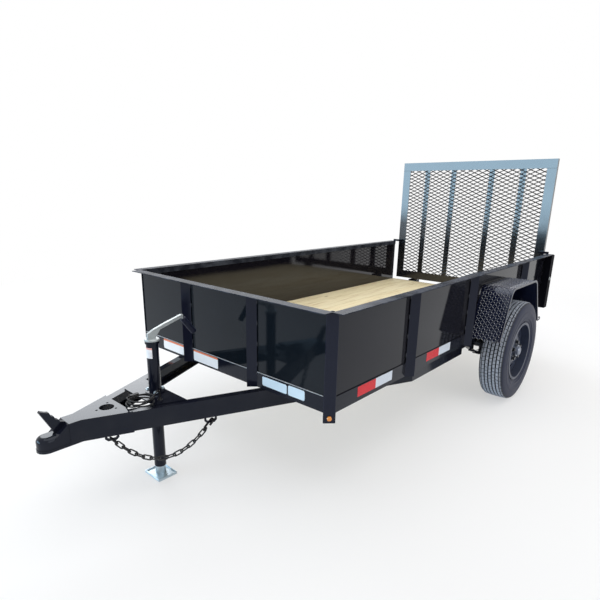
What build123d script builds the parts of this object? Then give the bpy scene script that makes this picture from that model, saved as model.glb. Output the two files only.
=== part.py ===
"""Single-axle utility trailer with solid steel sides, an A-frame tongue and a mesh ramp gate.

Millimetres, +X towards the coupler, +Y to the trailer's left, +Z up from the ground.
The origin is on the ground, under the middle of the trailer's length and width.
"""
import math
import os

from build123d import *

os.makedirs("parts", exist_ok=True)

# Bed: outside faces of the steel frame, heights above the ground
BED_LENGTH = 3048
BED_WIDTH = 1524
RAIL_BOTTOM = 442
RAIL_HEIGHT = 76
RAIL_FOOT = 51
RAIL_WALL = 5
SIDE_TOP = 904
PANEL_WALL = 2
PANEL_LAP = 18
FLANGE_REACH = 46
FLANGE_WALL = 4
FLANGE_LEG = 34
SEAT_GAP = 0.3

# Posts and stakes
POST = 40
POST_WALL = 2.5
POST_CUT = 36
POST_DROP = 51
REAR_POST_LENGTH = 76
REAR_POST_DEPTH = 53
STAKE_LEG = 51
STAKE_WALL = 4
FRONT_STAKE_Y = 264
SIDE_STAKES_BACK = (679, 1435, 2425)

# Deck
DECK_THICK = 38
BOARD_COUNT = 8
BOARD_GAP = 3
CROSS_FOOT = 51
CROSS_WALL = 5
CROSS_DROP = 14
CROSS_COUNT = 6
CROSS_END = 70

# Tongue: outer faces of the two channels meet ahead of the front wall at TONGUE_APEX
TONGUE_APEX = 848
TONGUE_ANGLE = 23.3
TONGUE_TIP = 700
TONGUE_BACK = 1493
CHANNEL_HEIGHT = 92
CHANNEL_FLANGE = 40
CHANNEL_WALL = 5
CHANNEL_Y = 718

# Coupler
NOSE_REACH = 935
NOSE_RADIUS = 42
NOSE_TOP_DROP = 38
NOSE_BOTTOM = 347
NOSE_LIP = 12
DOME_RADIUS = 40
DOME_FILLET = 22
COUPLER_REAR = 575
COUPLER_NECK = 815
COUPLER_SLOPE = 45
COUPLER_WALL = 5
COUPLER_SKIRT = 100
BALL_RADIUS = 25.65
BALL_DEPTH = 48
JACK_HOLE_X = 632
JACK_HOLE = 64
BOLT_HOLE = 11
BOLT_RING = 92
LEVER_THICK = 20

# Jack
JACK_X = 387
JACK_TUBE = 57
JACK_TUBE_WALL = 3
JACK_TUBE_BOTTOM = 52
JACK_TUBE_TOP = 690
JACK_CAP = 66
JACK_CAP_HEIGHT = 22
JACK_COLLAR = 92
JACK_COLLAR_HEIGHT = 6
JACK_PLATE_REAR = 340
JACK_PLATE_FRONT = 475
JACK_PLATE_THICK = 6
JACK_PLATE_INSET = 30
LEG_TUBE = 50
LEG_WALL = 3
LEG_TOP = 300
FOOT_LENGTH = 104
FOOT_WIDTH = 128
FOOT_THICK = 6
CRANK_THICK = 14
GRIP_RADIUS = 15
GRIP_LENGTH = 104
GRIP_PIN_RADIUS = 5

# Safety chain
CHAIN_SAG = 142
LINK_WIRE = 7
LINK_GAP = 3.8
LINK_COUNT = 14
LINK_CHAMFER = 1.8
FIRST_LINK = 8.5
EYE_TO_LINK = 22
LOOP_ROD = 9
LOOP_WIDTH = 60
LOOP_DROP = 36
CHAIN_FRONT_X = 649
CHAIN_REAR_X = 245
CHAIN_INSET = 22
HOOK_THICK = 8
HOOK_SEAT = 45
HOOK_EYE_OUT = 12
HOOK_EYE_IN = 6
HOOK_BEND_IN = 10
HOOK_SLACK = 2.2

# Wiring lead
LEAD_RADIUS = 3.5
GROMMET_RADIUS = 12
COIL_AHEAD = 510
COIL_SHARE = 0.55
COIL_OUT = 72
COIL_IN = 40
COIL_HEIGHT = 21
PLUG_LENGTH = 42
PLUG_WIDTH = 18
PLUG_HEIGHT = 9

# Running gear
AXLE_BACK = 1865
TYRE_RADIUS = 344.5
TYRE_WIDTH = 172
TYRE_OUTER_Y = 989
RIM_RADIUS = 190
RIM_FLANGE = 203
RIM_WIDTH = 150
RIM_WALL = 4
AXLE_RADIUS = 30
SPINDLE_RADIUS = 17
SPINDLE_REACH = 40
HUB_BACK = 40
HUB_FRONT = 60
HUB_CLEAR = 6
HUB_BORE = 42
HUB_FLANGE = 70
HUB_FLANGE_WALL = 11
CAP_RADIUS = 30
CAP_END = 76
DISC_FACE = 42
DISC_FLAT = 80
DISC_RING = 152
DISC_ROOT = 20
DISC_WALL = 5
VENT_COUNT = 8
VENT_RADIUS = 15
SPRING_Y = 733
SPRING_WIDTH = 45
SPRING_HALF_SPAN = 320
SPRING_CAMBER = 95
LEAF = 7
EYE_RADIUS = 16
EYE_BOLT_RADIUS = 7
PAD_HALF = 45
PAD_DROP = 6
HANGER_WALL = 6
HANGER_LENGTH = 56
HANGER_CLEAR = 1
FENDER_OUTER_Y = 962
FENDER_TOP = 812
FENDER_BOTTOM = 487
FENDER_TOP_LENGTH = 485
FENDER_FRONT_REACH = 366
FENDER_REAR_REACH = 418
FENDER_CENTRE_BACK = 1842
FENDER_SHEET = 3
FENDER_BEND = 70
FENDER_LIP = 14
TIE_LENGTH = 56
TIE_HEIGHT = 26
TIE_WALL = 6
TIE_LAP = 9

# Ramp gate, shut and upright behind the bed
GATE_SIDE_CLEAR = 40.5
GATE_BOTTOM = 522
GATE_TOP = 1691
GATE_TUBE = 76
GATE_DEPTH = 38
GATE_GAP = 10
GATE_WALL = 4
GATE_BAR_WIDTH = 50
GATE_BAR_DEPTH = 30
GATE_BARS_Y = (-455, -183, 183, 455)
MESH_THICK = 3
MESH_LONG = 152.4
MESH_SHORT = 67.6
MESH_STRAND = 14
HINGE_BACK = 60
HINGE_Z = 500
HINGE_BARREL = 26
HINGE_PIN_RADIUS = 8
HINGE_LENGTH = 60
HINGES_Y = (-520, 520)
HINGE_LUG = 12
HINGE_CLEAR = 0.3
HINGE_SIDE_CLEAR = 1
HINGE_LEAF = 8
HINGE_LEAF_LAP = 45
LATCH_Y = 700
LATCH_HEIGHT = 20
LATCH_SETBACK = 12
LATCH_PLATE = 10
LATCH_TIP = 4
LATCH_PIN_RADIUS = 7
LATCH_PIN_LENGTH = 60

# Lamps
MARKER_RADIUS = 11
MARKER_HEIGHT = 9
MARKER_Z = 415
TAIL_WIDTH = 44
TAIL_HEIGHT = 140
TAIL_DEPTH = 14
TAIL_Z = 640

# Places worked out from the driving dimensions
FRONT_X = (BED_LENGTH + HINGE_BACK + HINGE_BARREL / 2 - NOSE_REACH) / 2
REAR_X = FRONT_X - BED_LENGTH
SIDE_Y = BED_WIDTH / 2
GATE_WIDTH = BED_WIDTH - 2 * GATE_SIDE_CLEAR
RAIL_TOP = RAIL_BOTTOM + RAIL_HEIGHT
FLANGE_UNDER = SIDE_TOP - FLANGE_WALL
PANEL_OUT = SIDE_Y - RAIL_WALL
PANEL_IN = PANEL_OUT - PANEL_WALL
POST_IN = SIDE_Y - POST
DECK_BOTTOM = RAIL_BOTTOM + RAIL_WALL + CROSS_DROP
DECK_TOP = DECK_BOTTOM + DECK_THICK
SLOPE = math.tan(math.radians(TONGUE_ANGLE))
SLANT = 1 / math.cos(math.radians(TONGUE_ANGLE))
BEAM_TOP = RAIL_BOTTOM
BEAM_BOTTOM = BEAM_TOP - CHANNEL_HEIGHT
AXLE_X = FRONT_X - AXLE_BACK
WHEEL_Y = TYRE_OUTER_Y - TYRE_WIDTH / 2


def write(piece, name):
    """Label a finished piece and write it to its own file."""
    piece.label = name
    export_step(piece, f"parts/{name}.step")


def write_pair(piece, name):
    """Write a left-hand piece and its mirror image on the right."""
    write(piece, f"{name}_left")
    write(mirror(piece, about=Plane.XZ), f"{name}_right")


def block(x, y, z):
    """A box from its limits along X, Y and Z, added to the part being built."""
    with Locations(((x[0] + x[1]) / 2, (y[0] + y[1]) / 2, (z[0] + z[1]) / 2)):
        Box(abs(x[1] - x[0]), abs(y[1] - y[0]), abs(z[1] - z[0]))


def angle_bar(plane, length, foot, leg, wall):
    """A steel angle with its heel on the plane's origin, foot along its x and leg along its y."""
    with BuildPart() as bar:
        with BuildSketch(plane):
            with BuildLine():
                Polyline((0, 0), (foot, 0), (foot, wall), (wall, wall), (wall, leg), (0, leg), close=True)
            make_face()
        extrude(amount=length)
    return bar.part


# Side rails: angles with the foot turned in under the deck
side_rail_plane = Plane(origin=(FRONT_X - POST, SIDE_Y, RAIL_BOTTOM), x_dir=(0, -1, 0), z_dir=(-1, 0, 0))
side_rail = angle_bar(side_rail_plane, BED_LENGTH - POST - RAIL_FOOT, RAIL_FOOT, RAIL_HEIGHT, RAIL_WALL)
write_pair(side_rail, "side_rail")

# Front rail between the corner posts, and the sill across the rear, level with the deck
front_rail_plane = Plane(origin=(FRONT_X, -POST_IN, RAIL_BOTTOM), x_dir=(-1, 0, 0), z_dir=(0, 1, 0))
write(angle_bar(front_rail_plane, 2 * POST_IN, POST, RAIL_HEIGHT, RAIL_WALL), "front_rail")
rear_sill_plane = Plane(origin=(REAR_X, SIDE_Y, RAIL_BOTTOM), x_dir=(1, 0, 0), z_dir=(0, -1, 0))
write(angle_bar(rear_sill_plane, BED_WIDTH, RAIL_FOOT, DECK_TOP - RAIL_BOTTOM, RAIL_WALL), "rear_sill")

# Cross members: angles on the rails' feet that carry the boards, their legs coped round the feet
cross_first = REAR_X + CROSS_END
cross_step = (BED_LENGTH - 2 * CROSS_END - CROSS_FOOT) / (CROSS_COUNT - 1)
leg_half = SIDE_Y - RAIL_FOOT - BOARD_GAP
with BuildPart() as cross_members:
    for index in range(CROSS_COUNT):
        x = cross_first + index * cross_step
        block((x, x + CROSS_FOOT), (-PANEL_OUT, PANEL_OUT), (DECK_BOTTOM - CROSS_WALL, DECK_BOTTOM))
        block((x, x + CROSS_WALL), (-PANEL_OUT, PANEL_OUT), (DECK_BOTTOM - CROSS_DROP, DECK_BOTTOM))
        block((x, x + CROSS_WALL), (-leg_half, leg_half), (BEAM_TOP, DECK_BOTTOM))
write(cross_members.part, "cross_members")

# Deck boards laid lengthwise, the outer two stopping short of the corner posts
board_width = (2 * PANEL_IN - (BOARD_COUNT + 1) * BOARD_GAP) / BOARD_COUNT
board_rear = REAR_X + RAIL_WALL + BOARD_GAP
with BuildPart() as deck_boards:
    for index in range(BOARD_COUNT):
        y = -PANEL_IN + BOARD_GAP + index * (board_width + BOARD_GAP)
        at_edge = index in (0, BOARD_COUNT - 1)
        front_stop = POST if at_edge else RAIL_WALL + PANEL_WALL
        block((board_rear, FRONT_X - front_stop - BOARD_GAP), (y, y + board_width), (DECK_BOTTOM, DECK_TOP))
write(deck_boards.part, "deck_boards")

# Wall panels tucked behind the rails and under the top flanges
panel_z = (RAIL_TOP - PANEL_LAP, FLANGE_UNDER)
with BuildPart() as front_panel:
    block((FRONT_X - RAIL_WALL - PANEL_WALL, FRONT_X - RAIL_WALL), (-POST_IN, POST_IN), panel_z)
write(front_panel.part, "front_panel")
with BuildPart() as side_panel:
    block((REAR_X + RAIL_WALL, FRONT_X - POST), (PANEL_IN, PANEL_OUT), panel_z)
write_pair(side_panel.part, "side_panel")

# Top rails: angles with a leg inside the panel and a flange turned out over the stakes
flange_in = PANEL_IN - FLANGE_WALL
with BuildPart() as side_top_rail:
    block((REAR_X, FRONT_X), (flange_in, SIDE_Y + FLANGE_REACH), (FLANGE_UNDER, SIDE_TOP))
    block((REAR_X + RAIL_WALL, FRONT_X - POST), (flange_in, PANEL_IN), (SIDE_TOP - FLANGE_LEG, SIDE_TOP))
write_pair(side_top_rail.part, "side_top_rail")
front_inset = RAIL_WALL + PANEL_WALL + FLANGE_WALL
with BuildPart() as front_top_rail:
    block((FRONT_X - front_inset, FRONT_X + FLANGE_REACH), (-flange_in, flange_in), (FLANGE_UNDER, SIDE_TOP))
    block((FRONT_X - front_inset, FRONT_X - front_inset + FLANGE_WALL), (-POST_IN, POST_IN),
          (SIDE_TOP - FLANGE_LEG, SIDE_TOP))
write(front_top_rail.part, "front_top_rail")


# Front corner posts: tubes that reach below the rails, their outer corner cut off at 45 degrees
def post_outline(side, wall):
    """Plan corners of a corner post's section, moved in by wall."""
    low, high = wall, POST - wall
    cut = 2 * POST - POST_CUT - wall * math.sqrt(2) - high
    spots = ((low, low), (high, low), (high, cut), (cut, high), (low, high))
    return [(FRONT_X - POST + x, side * (POST_IN + y)) for x, y in spots]


with BuildPart() as front_posts:
    for side in (1, -1):
        with BuildSketch(Plane.XY.offset(RAIL_BOTTOM - POST_DROP)):
            with BuildLine():
                Polyline(*post_outline(side, 0), close=True)
            make_face()
            with BuildLine():
                Polyline(*post_outline(side, POST_WALL), close=True)
            make_face(mode=Mode.SUBTRACT)
        extrude(amount=FLANGE_UNDER - RAIL_BOTTOM + POST_DROP)
write(front_posts.part, "front_posts")

# Rear posts: box sections outside the walls, flush with the bed's end
with BuildPart() as rear_posts:
    for side in (1, -1):
        post_centre = (REAR_X + REAR_POST_LENGTH / 2, side * (SIDE_Y + REAR_POST_DEPTH / 2))
        with BuildSketch(Plane.XY.offset(RAIL_BOTTOM)):
            with Locations(post_centre):
                Rectangle(REAR_POST_LENGTH, REAR_POST_DEPTH)
                Rectangle(REAR_POST_LENGTH - 2 * POST_WALL, REAR_POST_DEPTH - 2 * POST_WALL,
                          mode=Mode.SUBTRACT)
        extrude(amount=FLANGE_UNDER - RAIL_BOTTOM)
write(rear_posts.part, "rear_posts")


def stake(x_dir, spots):
    """Upright angles welded by their toes, ridge outwards, at spots given on the wall's outer face."""
    reach = STAKE_LEG / math.sqrt(2)
    inside = reach - STAKE_WALL * math.sqrt(2)
    with BuildPart() as stakes:
        for spot in spots:
            with BuildSketch(Plane(origin=(*spot, RAIL_BOTTOM), x_dir=x_dir, z_dir=(0, 0, 1))):
                with BuildLine():
                    Polyline((-reach, 0), (0, reach), (reach, 0), (inside, 0), (0, inside), (-inside, 0), close=True)
                make_face()
            extrude(amount=FLANGE_UNDER - RAIL_BOTTOM)
    return stakes.part


write(stake((0, -1, 0), [(FRONT_X, side * FRONT_STAKE_Y) for side in (1, -1)]), "front_stakes")
write_pair(stake((1, 0, 0), [(FRONT_X - back, SIDE_Y) for back in SIDE_STAKES_BACK]), "side_stakes")


def tongue_edge(inset):
    """Plan points of the left channel's outer face, moved in by inset: tip, bend and rear end."""
    tip_x = FRONT_X + TONGUE_TIP
    bend_y = CHANNEL_Y - inset
    bend_x = FRONT_X + TONGUE_APEX - (bend_y + inset * SLANT) / SLOPE
    return [(tip_x, tongue_half(tip_x) - inset * SLANT), (bend_x, bend_y), (FRONT_X - TONGUE_BACK, bend_y)]


def tongue_half(x):
    """Half width of the tongue over the outer faces of its channels."""
    return (FRONT_X + TONGUE_APEX - x) * SLOPE


# Tongue channels: web outside, bent where they meet the side rails and run back under them
with BuildPart() as tongue_beam:
    channel_layers = (
        # inset of the inner edge, bottom, top
        (CHANNEL_WALL, BEAM_BOTTOM, BEAM_TOP),
        (CHANNEL_FLANGE, BEAM_BOTTOM, BEAM_BOTTOM + CHANNEL_WALL),
        (CHANNEL_FLANGE, BEAM_TOP - CHANNEL_WALL, BEAM_TOP),
    )
    for inset, bottom, top in channel_layers:
        with BuildSketch(Plane.XY.offset(bottom)):
            with BuildLine():
                Polyline(*tongue_edge(0), *reversed(tongue_edge(inset)), close=True)
            make_face()
        extrude(amount=top - bottom)
write_pair(tongue_beam.part, "tongue_beam")

# Coupler: a formed cap over the channels' tips, a domed nose on a lip with the ball socket under it
coupler_top = BEAM_TOP + COUPLER_WALL
nose_x = FRONT_X + NOSE_REACH - NOSE_RADIUS
neck_x = FRONT_X + COUPLER_NECK
rear_x = FRONT_X + COUPLER_REAR
inner_gap = SEAT_GAP * SLANT
outer_gap = (SEAT_GAP + COUPLER_WALL) * SLANT
waist_x = FRONT_X + TONGUE_APEX - (NOSE_RADIUS - outer_gap) / SLOPE
with BuildPart() as coupler:
    with BuildSketch(Plane.XY.offset(coupler_top - COUPLER_SKIRT)):
        with BuildLine():
            Polyline((rear_x, tongue_half(rear_x) + outer_gap), (waist_x, NOSE_RADIUS), (neck_x, NOSE_RADIUS),
                     (neck_x, -NOSE_RADIUS), (waist_x, -NOSE_RADIUS),
                     (rear_x, -tongue_half(rear_x) - outer_gap), close=True)
        make_face()
    extrude(amount=COUPLER_SKIRT)
    with BuildSketch(Plane.XY.offset(coupler_top - COUPLER_SKIRT)):
        with BuildLine():
            half_in = NOSE_RADIUS - COUPLER_WALL
            Polyline((rear_x, tongue_half(rear_x) + inner_gap), (waist_x, half_in), (neck_x - COUPLER_WALL, half_in),
                     (neck_x - COUPLER_WALL, -half_in), (waist_x, -half_in),
                     (rear_x, -tongue_half(rear_x) - inner_gap), close=True)
        make_face()
    extrude(amount=COUPLER_SKIRT - COUPLER_WALL, mode=Mode.SUBTRACT)
    with Locations((FRONT_X + JACK_HOLE_X, 0, coupler_top)):
        Cylinder(JACK_HOLE / 2, 4 * COUPLER_WALL, mode=Mode.SUBTRACT)
        with PolarLocations(BOLT_RING / 2, 3):
            Cylinder(BOLT_HOLE / 2, 4 * COUPLER_WALL, mode=Mode.SUBTRACT)
    nose_layers = (
        # half width and end radius, top
        (NOSE_RADIUS, NOSE_BOTTOM + NOSE_LIP),
        (DOME_RADIUS, coupler_top),
    )
    for radius, top in nose_layers:
        with BuildSketch(Plane.XY.offset(NOSE_BOTTOM)):
            with Locations((nose_x, 0)):
                Circle(radius)
            with Locations(((neck_x + nose_x) / 2, 0)):
                Rectangle(nose_x - neck_x, 2 * radius)
        extrude(amount=top - NOSE_BOTTOM)
    with BuildSketch(Plane.XZ):
        with BuildLine():
            Polyline((neck_x, coupler_top), (neck_x + COUPLER_SLOPE, coupler_top - NOSE_TOP_DROP),
                     (FRONT_X + NOSE_REACH, coupler_top - NOSE_TOP_DROP), (FRONT_X + NOSE_REACH, coupler_top),
                     close=True)
        make_face()
    extrude(amount=2 * NOSE_RADIUS, both=True, mode=Mode.SUBTRACT)
    nose_edges = coupler.edges().filter_by(GeomType.CIRCLE).filter_by(lambda e: abs(e.radius - DOME_RADIUS) < 1)
    fillet(nose_edges.group_by(Axis.Z)[-1], DOME_FILLET)
    with Locations((nose_x, 0, NOSE_BOTTOM)):
        Cylinder(BALL_RADIUS, BALL_DEPTH, align=(Align.CENTER, Align.CENTER, Align.MIN), mode=Mode.SUBTRACT)
write(coupler.part, "coupler")

# Coupler latch: a raised wedge of plate with a stepped upper edge, standing on the slope of the nose
latch_outline = (
    # ahead of the coupler's neck, above the coupler's top
    (0, 0), (COUPLER_SLOPE, -NOSE_TOP_DROP), (95, 66), (90, 73), (68, 62), (58, 59), (52, 42), (42, 38), (36, 23),
    (26, 19), (20, 7), (10, 4),
)
with BuildPart() as coupler_latch:
    with BuildSketch(Plane.XZ):
        with BuildLine():
            Polyline(*[(neck_x + ahead, coupler_top + up) for ahead, up in latch_outline], close=True)
        make_face()
    extrude(amount=LEVER_THICK / 2, both=True)
write(coupler_latch.part, "coupler_latch")

# Jack plate across the channels, with the hole that the jack's tube drops through
jack_x = FRONT_X + JACK_X
plate_rear = FRONT_X + JACK_PLATE_REAR
plate_front = FRONT_X + JACK_PLATE_FRONT
plate_top = BEAM_TOP + JACK_PLATE_THICK
with BuildPart() as jack_plate:
    with BuildSketch(Plane.XY.offset(BEAM_TOP)):
        with BuildLine():
            rear_half = tongue_half(plate_rear) - JACK_PLATE_INSET
            front_half = tongue_half(plate_front) - JACK_PLATE_INSET
            Polyline((plate_rear, rear_half), (plate_front, front_half),
                     (plate_front, -front_half), (plate_rear, -rear_half), close=True)
        make_face()
        with Locations((jack_x, 0)):
            Circle(JACK_TUBE / 2 + SEAT_GAP, mode=Mode.SUBTRACT)
    extrude(amount=JACK_PLATE_THICK)
write(jack_plate.part, "jack_plate")

# Jack tube with its bolting collar and the gear cap on top
with BuildPart() as jack_tube:
    with BuildSketch(Plane.XY.offset(JACK_TUBE_BOTTOM)):
        with Locations((jack_x, 0)):
            Circle(JACK_TUBE / 2)
            Circle(JACK_TUBE / 2 - JACK_TUBE_WALL, mode=Mode.SUBTRACT)
    extrude(amount=JACK_TUBE_TOP - JACK_TUBE_BOTTOM)
    with BuildSketch(Plane.XY.offset(plate_top)):
        with Locations((jack_x, 0)):
            Circle(JACK_COLLAR / 2)
            Circle(JACK_TUBE / 2, mode=Mode.SUBTRACT)
    extrude(amount=JACK_COLLAR_HEIGHT)
    with BuildSketch(Plane.XY.offset(JACK_TUBE_TOP)):
        with Locations((jack_x, 0)):
            Circle(JACK_CAP / 2)
    extrude(amount=JACK_CAP_HEIGHT)
write(jack_tube.part, "jack_tube")

# Jack leg, nearly wound in, and its foot on the ground
with BuildPart() as jack_leg:
    with BuildSketch(Plane.XY.offset(FOOT_THICK)):
        with Locations((jack_x, 0)):
            Circle(LEG_TUBE / 2)
            Circle(LEG_TUBE / 2 - LEG_WALL, mode=Mode.SUBTRACT)
    extrude(amount=LEG_TOP - FOOT_THICK)
write(jack_leg.part, "jack_leg")
with BuildPart() as jack_foot:
    with Locations((jack_x, 0, 0)):
        Box(FOOT_LENGTH, FOOT_WIDTH, FOOT_THICK, align=(Align.CENTER, Align.CENTER, Align.MIN))
    chamfer(jack_foot.faces().sort_by(Axis.Z)[-1].edges(), FOOT_THICK / 3)
write(jack_foot.part, "jack_foot")

# Jack crank: a cast arm on the cap, with a pin for the grip that hangs from its end
crank_bottom = JACK_TUBE_TOP + JACK_CAP_HEIGHT
crank_outline = (
    # behind the jack's axis, above the cap
    (-22, 0), (15, 0), (43, 36), (69, 44), (161, 70), (174, 76), (173, 86), (164, 87), (70, 61), (10, 42), (-22, 26),
)
grip_start = Vector(jack_x - 164, 0, crank_bottom + 78)
grip_way = Vector(-0.62, 0, -0.785).normalized()
with BuildPart() as jack_crank:
    with BuildSketch(Plane.XZ):
        with BuildLine():
            Polyline(*[(jack_x - back, crank_bottom + up) for back, up in crank_outline], close=True)
        make_face()
    extrude(amount=CRANK_THICK / 2, both=True)
    with BuildSketch(Plane(origin=grip_start, z_dir=grip_way)):
        Circle(GRIP_PIN_RADIUS)
    extrude(amount=GRIP_LENGTH / 2)
write(jack_crank.part, "jack_crank")
with BuildPart() as jack_grip:
    with BuildSketch(Plane(origin=grip_start + grip_way * GRIP_RADIUS, z_dir=grip_way)):
        Circle(GRIP_RADIUS)
    extrude(amount=GRIP_LENGTH)
    chamfer(jack_grip.edges().filter_by(GeomType.CIRCLE), GRIP_RADIUS / 5)
    with BuildSketch(Plane(origin=grip_start, z_dir=grip_way)):
        Circle(GRIP_PIN_RADIUS + SEAT_GAP)
    extrude(amount=GRIP_LENGTH / 2 + SEAT_GAP, mode=Mode.SUBTRACT)
write(jack_grip.part, "jack_grip")


def ring_outline(length, width):
    """A twelve-sided outline of a link, long along the sketch's x."""
    half, side = length / 2, width / 2
    bevel = 0.29 * width
    corner = 0.5 * bevel
    return [(half, side - bevel), (half - corner, side - corner), (half - bevel, side),
            (bevel - half, side), (corner - half, side - corner), (-half, side - bevel),
            (-half, bevel - side), (corner - half, corner - side), (bevel - half, -side),
            (half - bevel, -side), (half - corner, corner - side), (half, bevel - side)]


# Chain loops: rod staples under the left channel, in line with it
beam_way = Vector(-math.cos(math.radians(TONGUE_ANGLE)), math.sin(math.radians(TONGUE_ANGLE)), 0)
across_way = beam_way.cross(Vector(0, 0, 1))
loop_spots = []
for ahead in (CHAIN_FRONT_X, CHAIN_REAR_X):
    loop_x = FRONT_X + ahead
    loop_spots.append(Vector(loop_x, tongue_half(loop_x) - CHAIN_INSET * SLANT, BEAM_BOTTOM))
with BuildPart() as chain_loops:
    for spot in loop_spots:
        with BuildSketch(Plane(origin=spot - across_way * (LOOP_ROD / 2), x_dir=beam_way, z_dir=across_way)):
            with BuildLine():
                half, reach, cut = LOOP_WIDTH / 2, LOOP_DROP, LOOP_DROP / 3
                inner, depth = half - LOOP_ROD, LOOP_DROP - LOOP_ROD
                notch = cut * 0.7
                Polyline((half, 0), (half, cut - reach), (half - cut, -reach), (cut - half, -reach),
                         (-half, cut - reach), (-half, 0), (-inner, 0), (-inner, notch - depth),
                         (notch - inner, -depth), (inner - notch, -depth), (inner, notch - depth), (inner, 0),
                         close=True)
            make_face()
        extrude(amount=LOOP_ROD)
write(chain_loops.part, "chain_loops")

# Safety chain: flat and upright links in turn along its sag, from the front loop to the hook's eye
rod_drop = Vector(0, 0, LOOP_ROD / 2 - LOOP_DROP)
chain_start = loop_spots[0] + rod_drop
chain_end = loop_spots[1] + rod_drop
with BuildLine() as sag:
    Bezier(chain_start, (chain_start + chain_end) / 2 - Vector(0, 0, 2 * CHAIN_SAG), chain_end)
chain_line = sag.edges()[0]
link_pitch = (chain_line.length - FIRST_LINK - EYE_TO_LINK - HOOK_SEAT) / (LINK_COUNT - 1)
link_inside = link_pitch + LINK_GAP
link_width = 4 * LINK_WIRE - 2
with BuildPart() as link:
    with BuildSketch(Plane.XY.offset(-LINK_WIRE / 2)):
        with BuildLine():
            Polyline(*ring_outline(link_inside + 2 * LINK_WIRE, link_width), close=True)
        make_face()
        with BuildLine():
            Polyline(*ring_outline(link_inside, link_width - 2 * LINK_WIRE), close=True)
        make_face(mode=Mode.SUBTRACT)
    extrude(amount=LINK_WIRE)
    outer_edges = [edge for face in link.faces().filter_by(Axis.Z) for edge in face.outer_wire().edges()]
    chamfer(outer_edges, LINK_CHAMFER)


def chain_plane(distance, upright):
    """Where a link or the hook lies on the sagging chain, at a distance from the front loop."""
    way = chain_line.tangent_at(distance, position_mode=PositionMode.LENGTH)
    facing = across_way if upright else way.cross(across_way)
    return Plane(origin=chain_line.position_at(distance, position_mode=PositionMode.LENGTH),
                 x_dir=way, z_dir=facing)


with BuildPart() as safety_chain:
    for index in range(LINK_COUNT):
        with Locations(chain_plane(FIRST_LINK + index * link_pitch, index % 2 == 1)):
            add(link.part)
write(safety_chain.part, "safety_chain")

# Slip hook: an eye for the last link and an open bend over the rear loop
hook_plane = chain_plane(chain_line.length - HOOK_SEAT, False)
hook_bend = HOOK_SEAT + HOOK_SLACK
with BuildPart() as chain_hook:
    with BuildSketch(hook_plane.offset(-HOOK_THICK / 2)):
        Circle(HOOK_EYE_OUT)
        with Locations((hook_bend / 2, -(HOOK_BEND_IN + HOOK_THICK / 2))):
            Rectangle(hook_bend, HOOK_THICK)
        with Locations((hook_bend, 0)):
            Circle(HOOK_BEND_IN + HOOK_THICK)
        with Locations((hook_bend - HOOK_THICK, HOOK_BEND_IN + HOOK_THICK / 2)):
            Rectangle(2 * HOOK_THICK, HOOK_THICK)
        with Locations((hook_bend, 0)):
            Circle(HOOK_BEND_IN, mode=Mode.SUBTRACT)
        with Locations((hook_bend - HOOK_BEND_IN - HOOK_THICK / 2, 0)):
            Rectangle(2 * HOOK_BEND_IN + HOOK_THICK, 2 * HOOK_BEND_IN, mode=Mode.SUBTRACT)
        Circle(HOOK_EYE_OUT)
        Circle(HOOK_EYE_IN, mode=Mode.SUBTRACT)
    extrude(amount=HOOK_THICK)
write(chain_hook.part, "chain_hook")

# Wiring lead: a grommet in the jack plate, a short free lead, a loose coil and a flat plug on it
coil_bottom = plate_top + SEAT_GAP
coil_top = coil_bottom + COIL_HEIGHT
lead_route = (
    # ahead of the front wall, left of the coil's middle, above the jack plate
    (425, 20, 10), (425, 20, 34), (434, 32, 54), (458, 46, 54), (486, 56, 38), (508, 60, COIL_HEIGHT - 3),
)
coil_spot = Vector(FRONT_X + COIL_AHEAD, COIL_SHARE * tongue_half(FRONT_X + COIL_AHEAD), coil_bottom)
lead_points = [Vector(FRONT_X + ahead, coil_spot.Y + left, plate_top + up) for ahead, left, up in lead_route]
with BuildPart() as harness_grommet:
    with Locations((lead_points[0].X, lead_points[0].Y, plate_top)):
        Cone(GROMMET_RADIUS, LEAD_RADIUS + 2, lead_route[0][2], align=(Align.CENTER, Align.CENTER, Align.MIN))
write(harness_grommet.part, "harness_grommet")
lead_radii = []
for before, corner, after in zip(lead_points, lead_points[1:], lead_points[2:]):
    turn = math.radians((corner - before).get_angle(after - corner))
    shorter = min((corner - before).length, (after - corner).length)
    lead_radii.append(0.45 * shorter / math.tan(turn / 2))
with BuildPart() as harness_lead:
    with BuildLine():
        FilletPolyline(*lead_points, radius=lead_radii)
    with BuildSketch(Plane(origin=lead_points[0], z_dir=lead_points[1] - lead_points[0])):
        Circle(LEAD_RADIUS)
    sweep()
write(harness_lead.part, "harness_lead")
with BuildPart() as harness_coil:
    with BuildSketch(Plane(origin=coil_spot)):
        Circle(COIL_OUT)
        Circle(COIL_IN, mode=Mode.SUBTRACT)
    extrude(amount=COIL_HEIGHT)
write(harness_coil.part, "harness_coil")
with BuildPart() as harness_plug:
    with Locations((coil_spot.X, coil_spot.Y - (COIL_OUT + COIL_IN) / 2, coil_top)):
        Box(PLUG_LENGTH, PLUG_WIDTH, PLUG_HEIGHT, align=(Align.CENTER, Align.CENTER, Align.MIN))
    chamfer(harness_plug.edges().filter_by(Axis.Z), PLUG_HEIGHT / 3)
write(harness_plug.part, "harness_plug")

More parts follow.
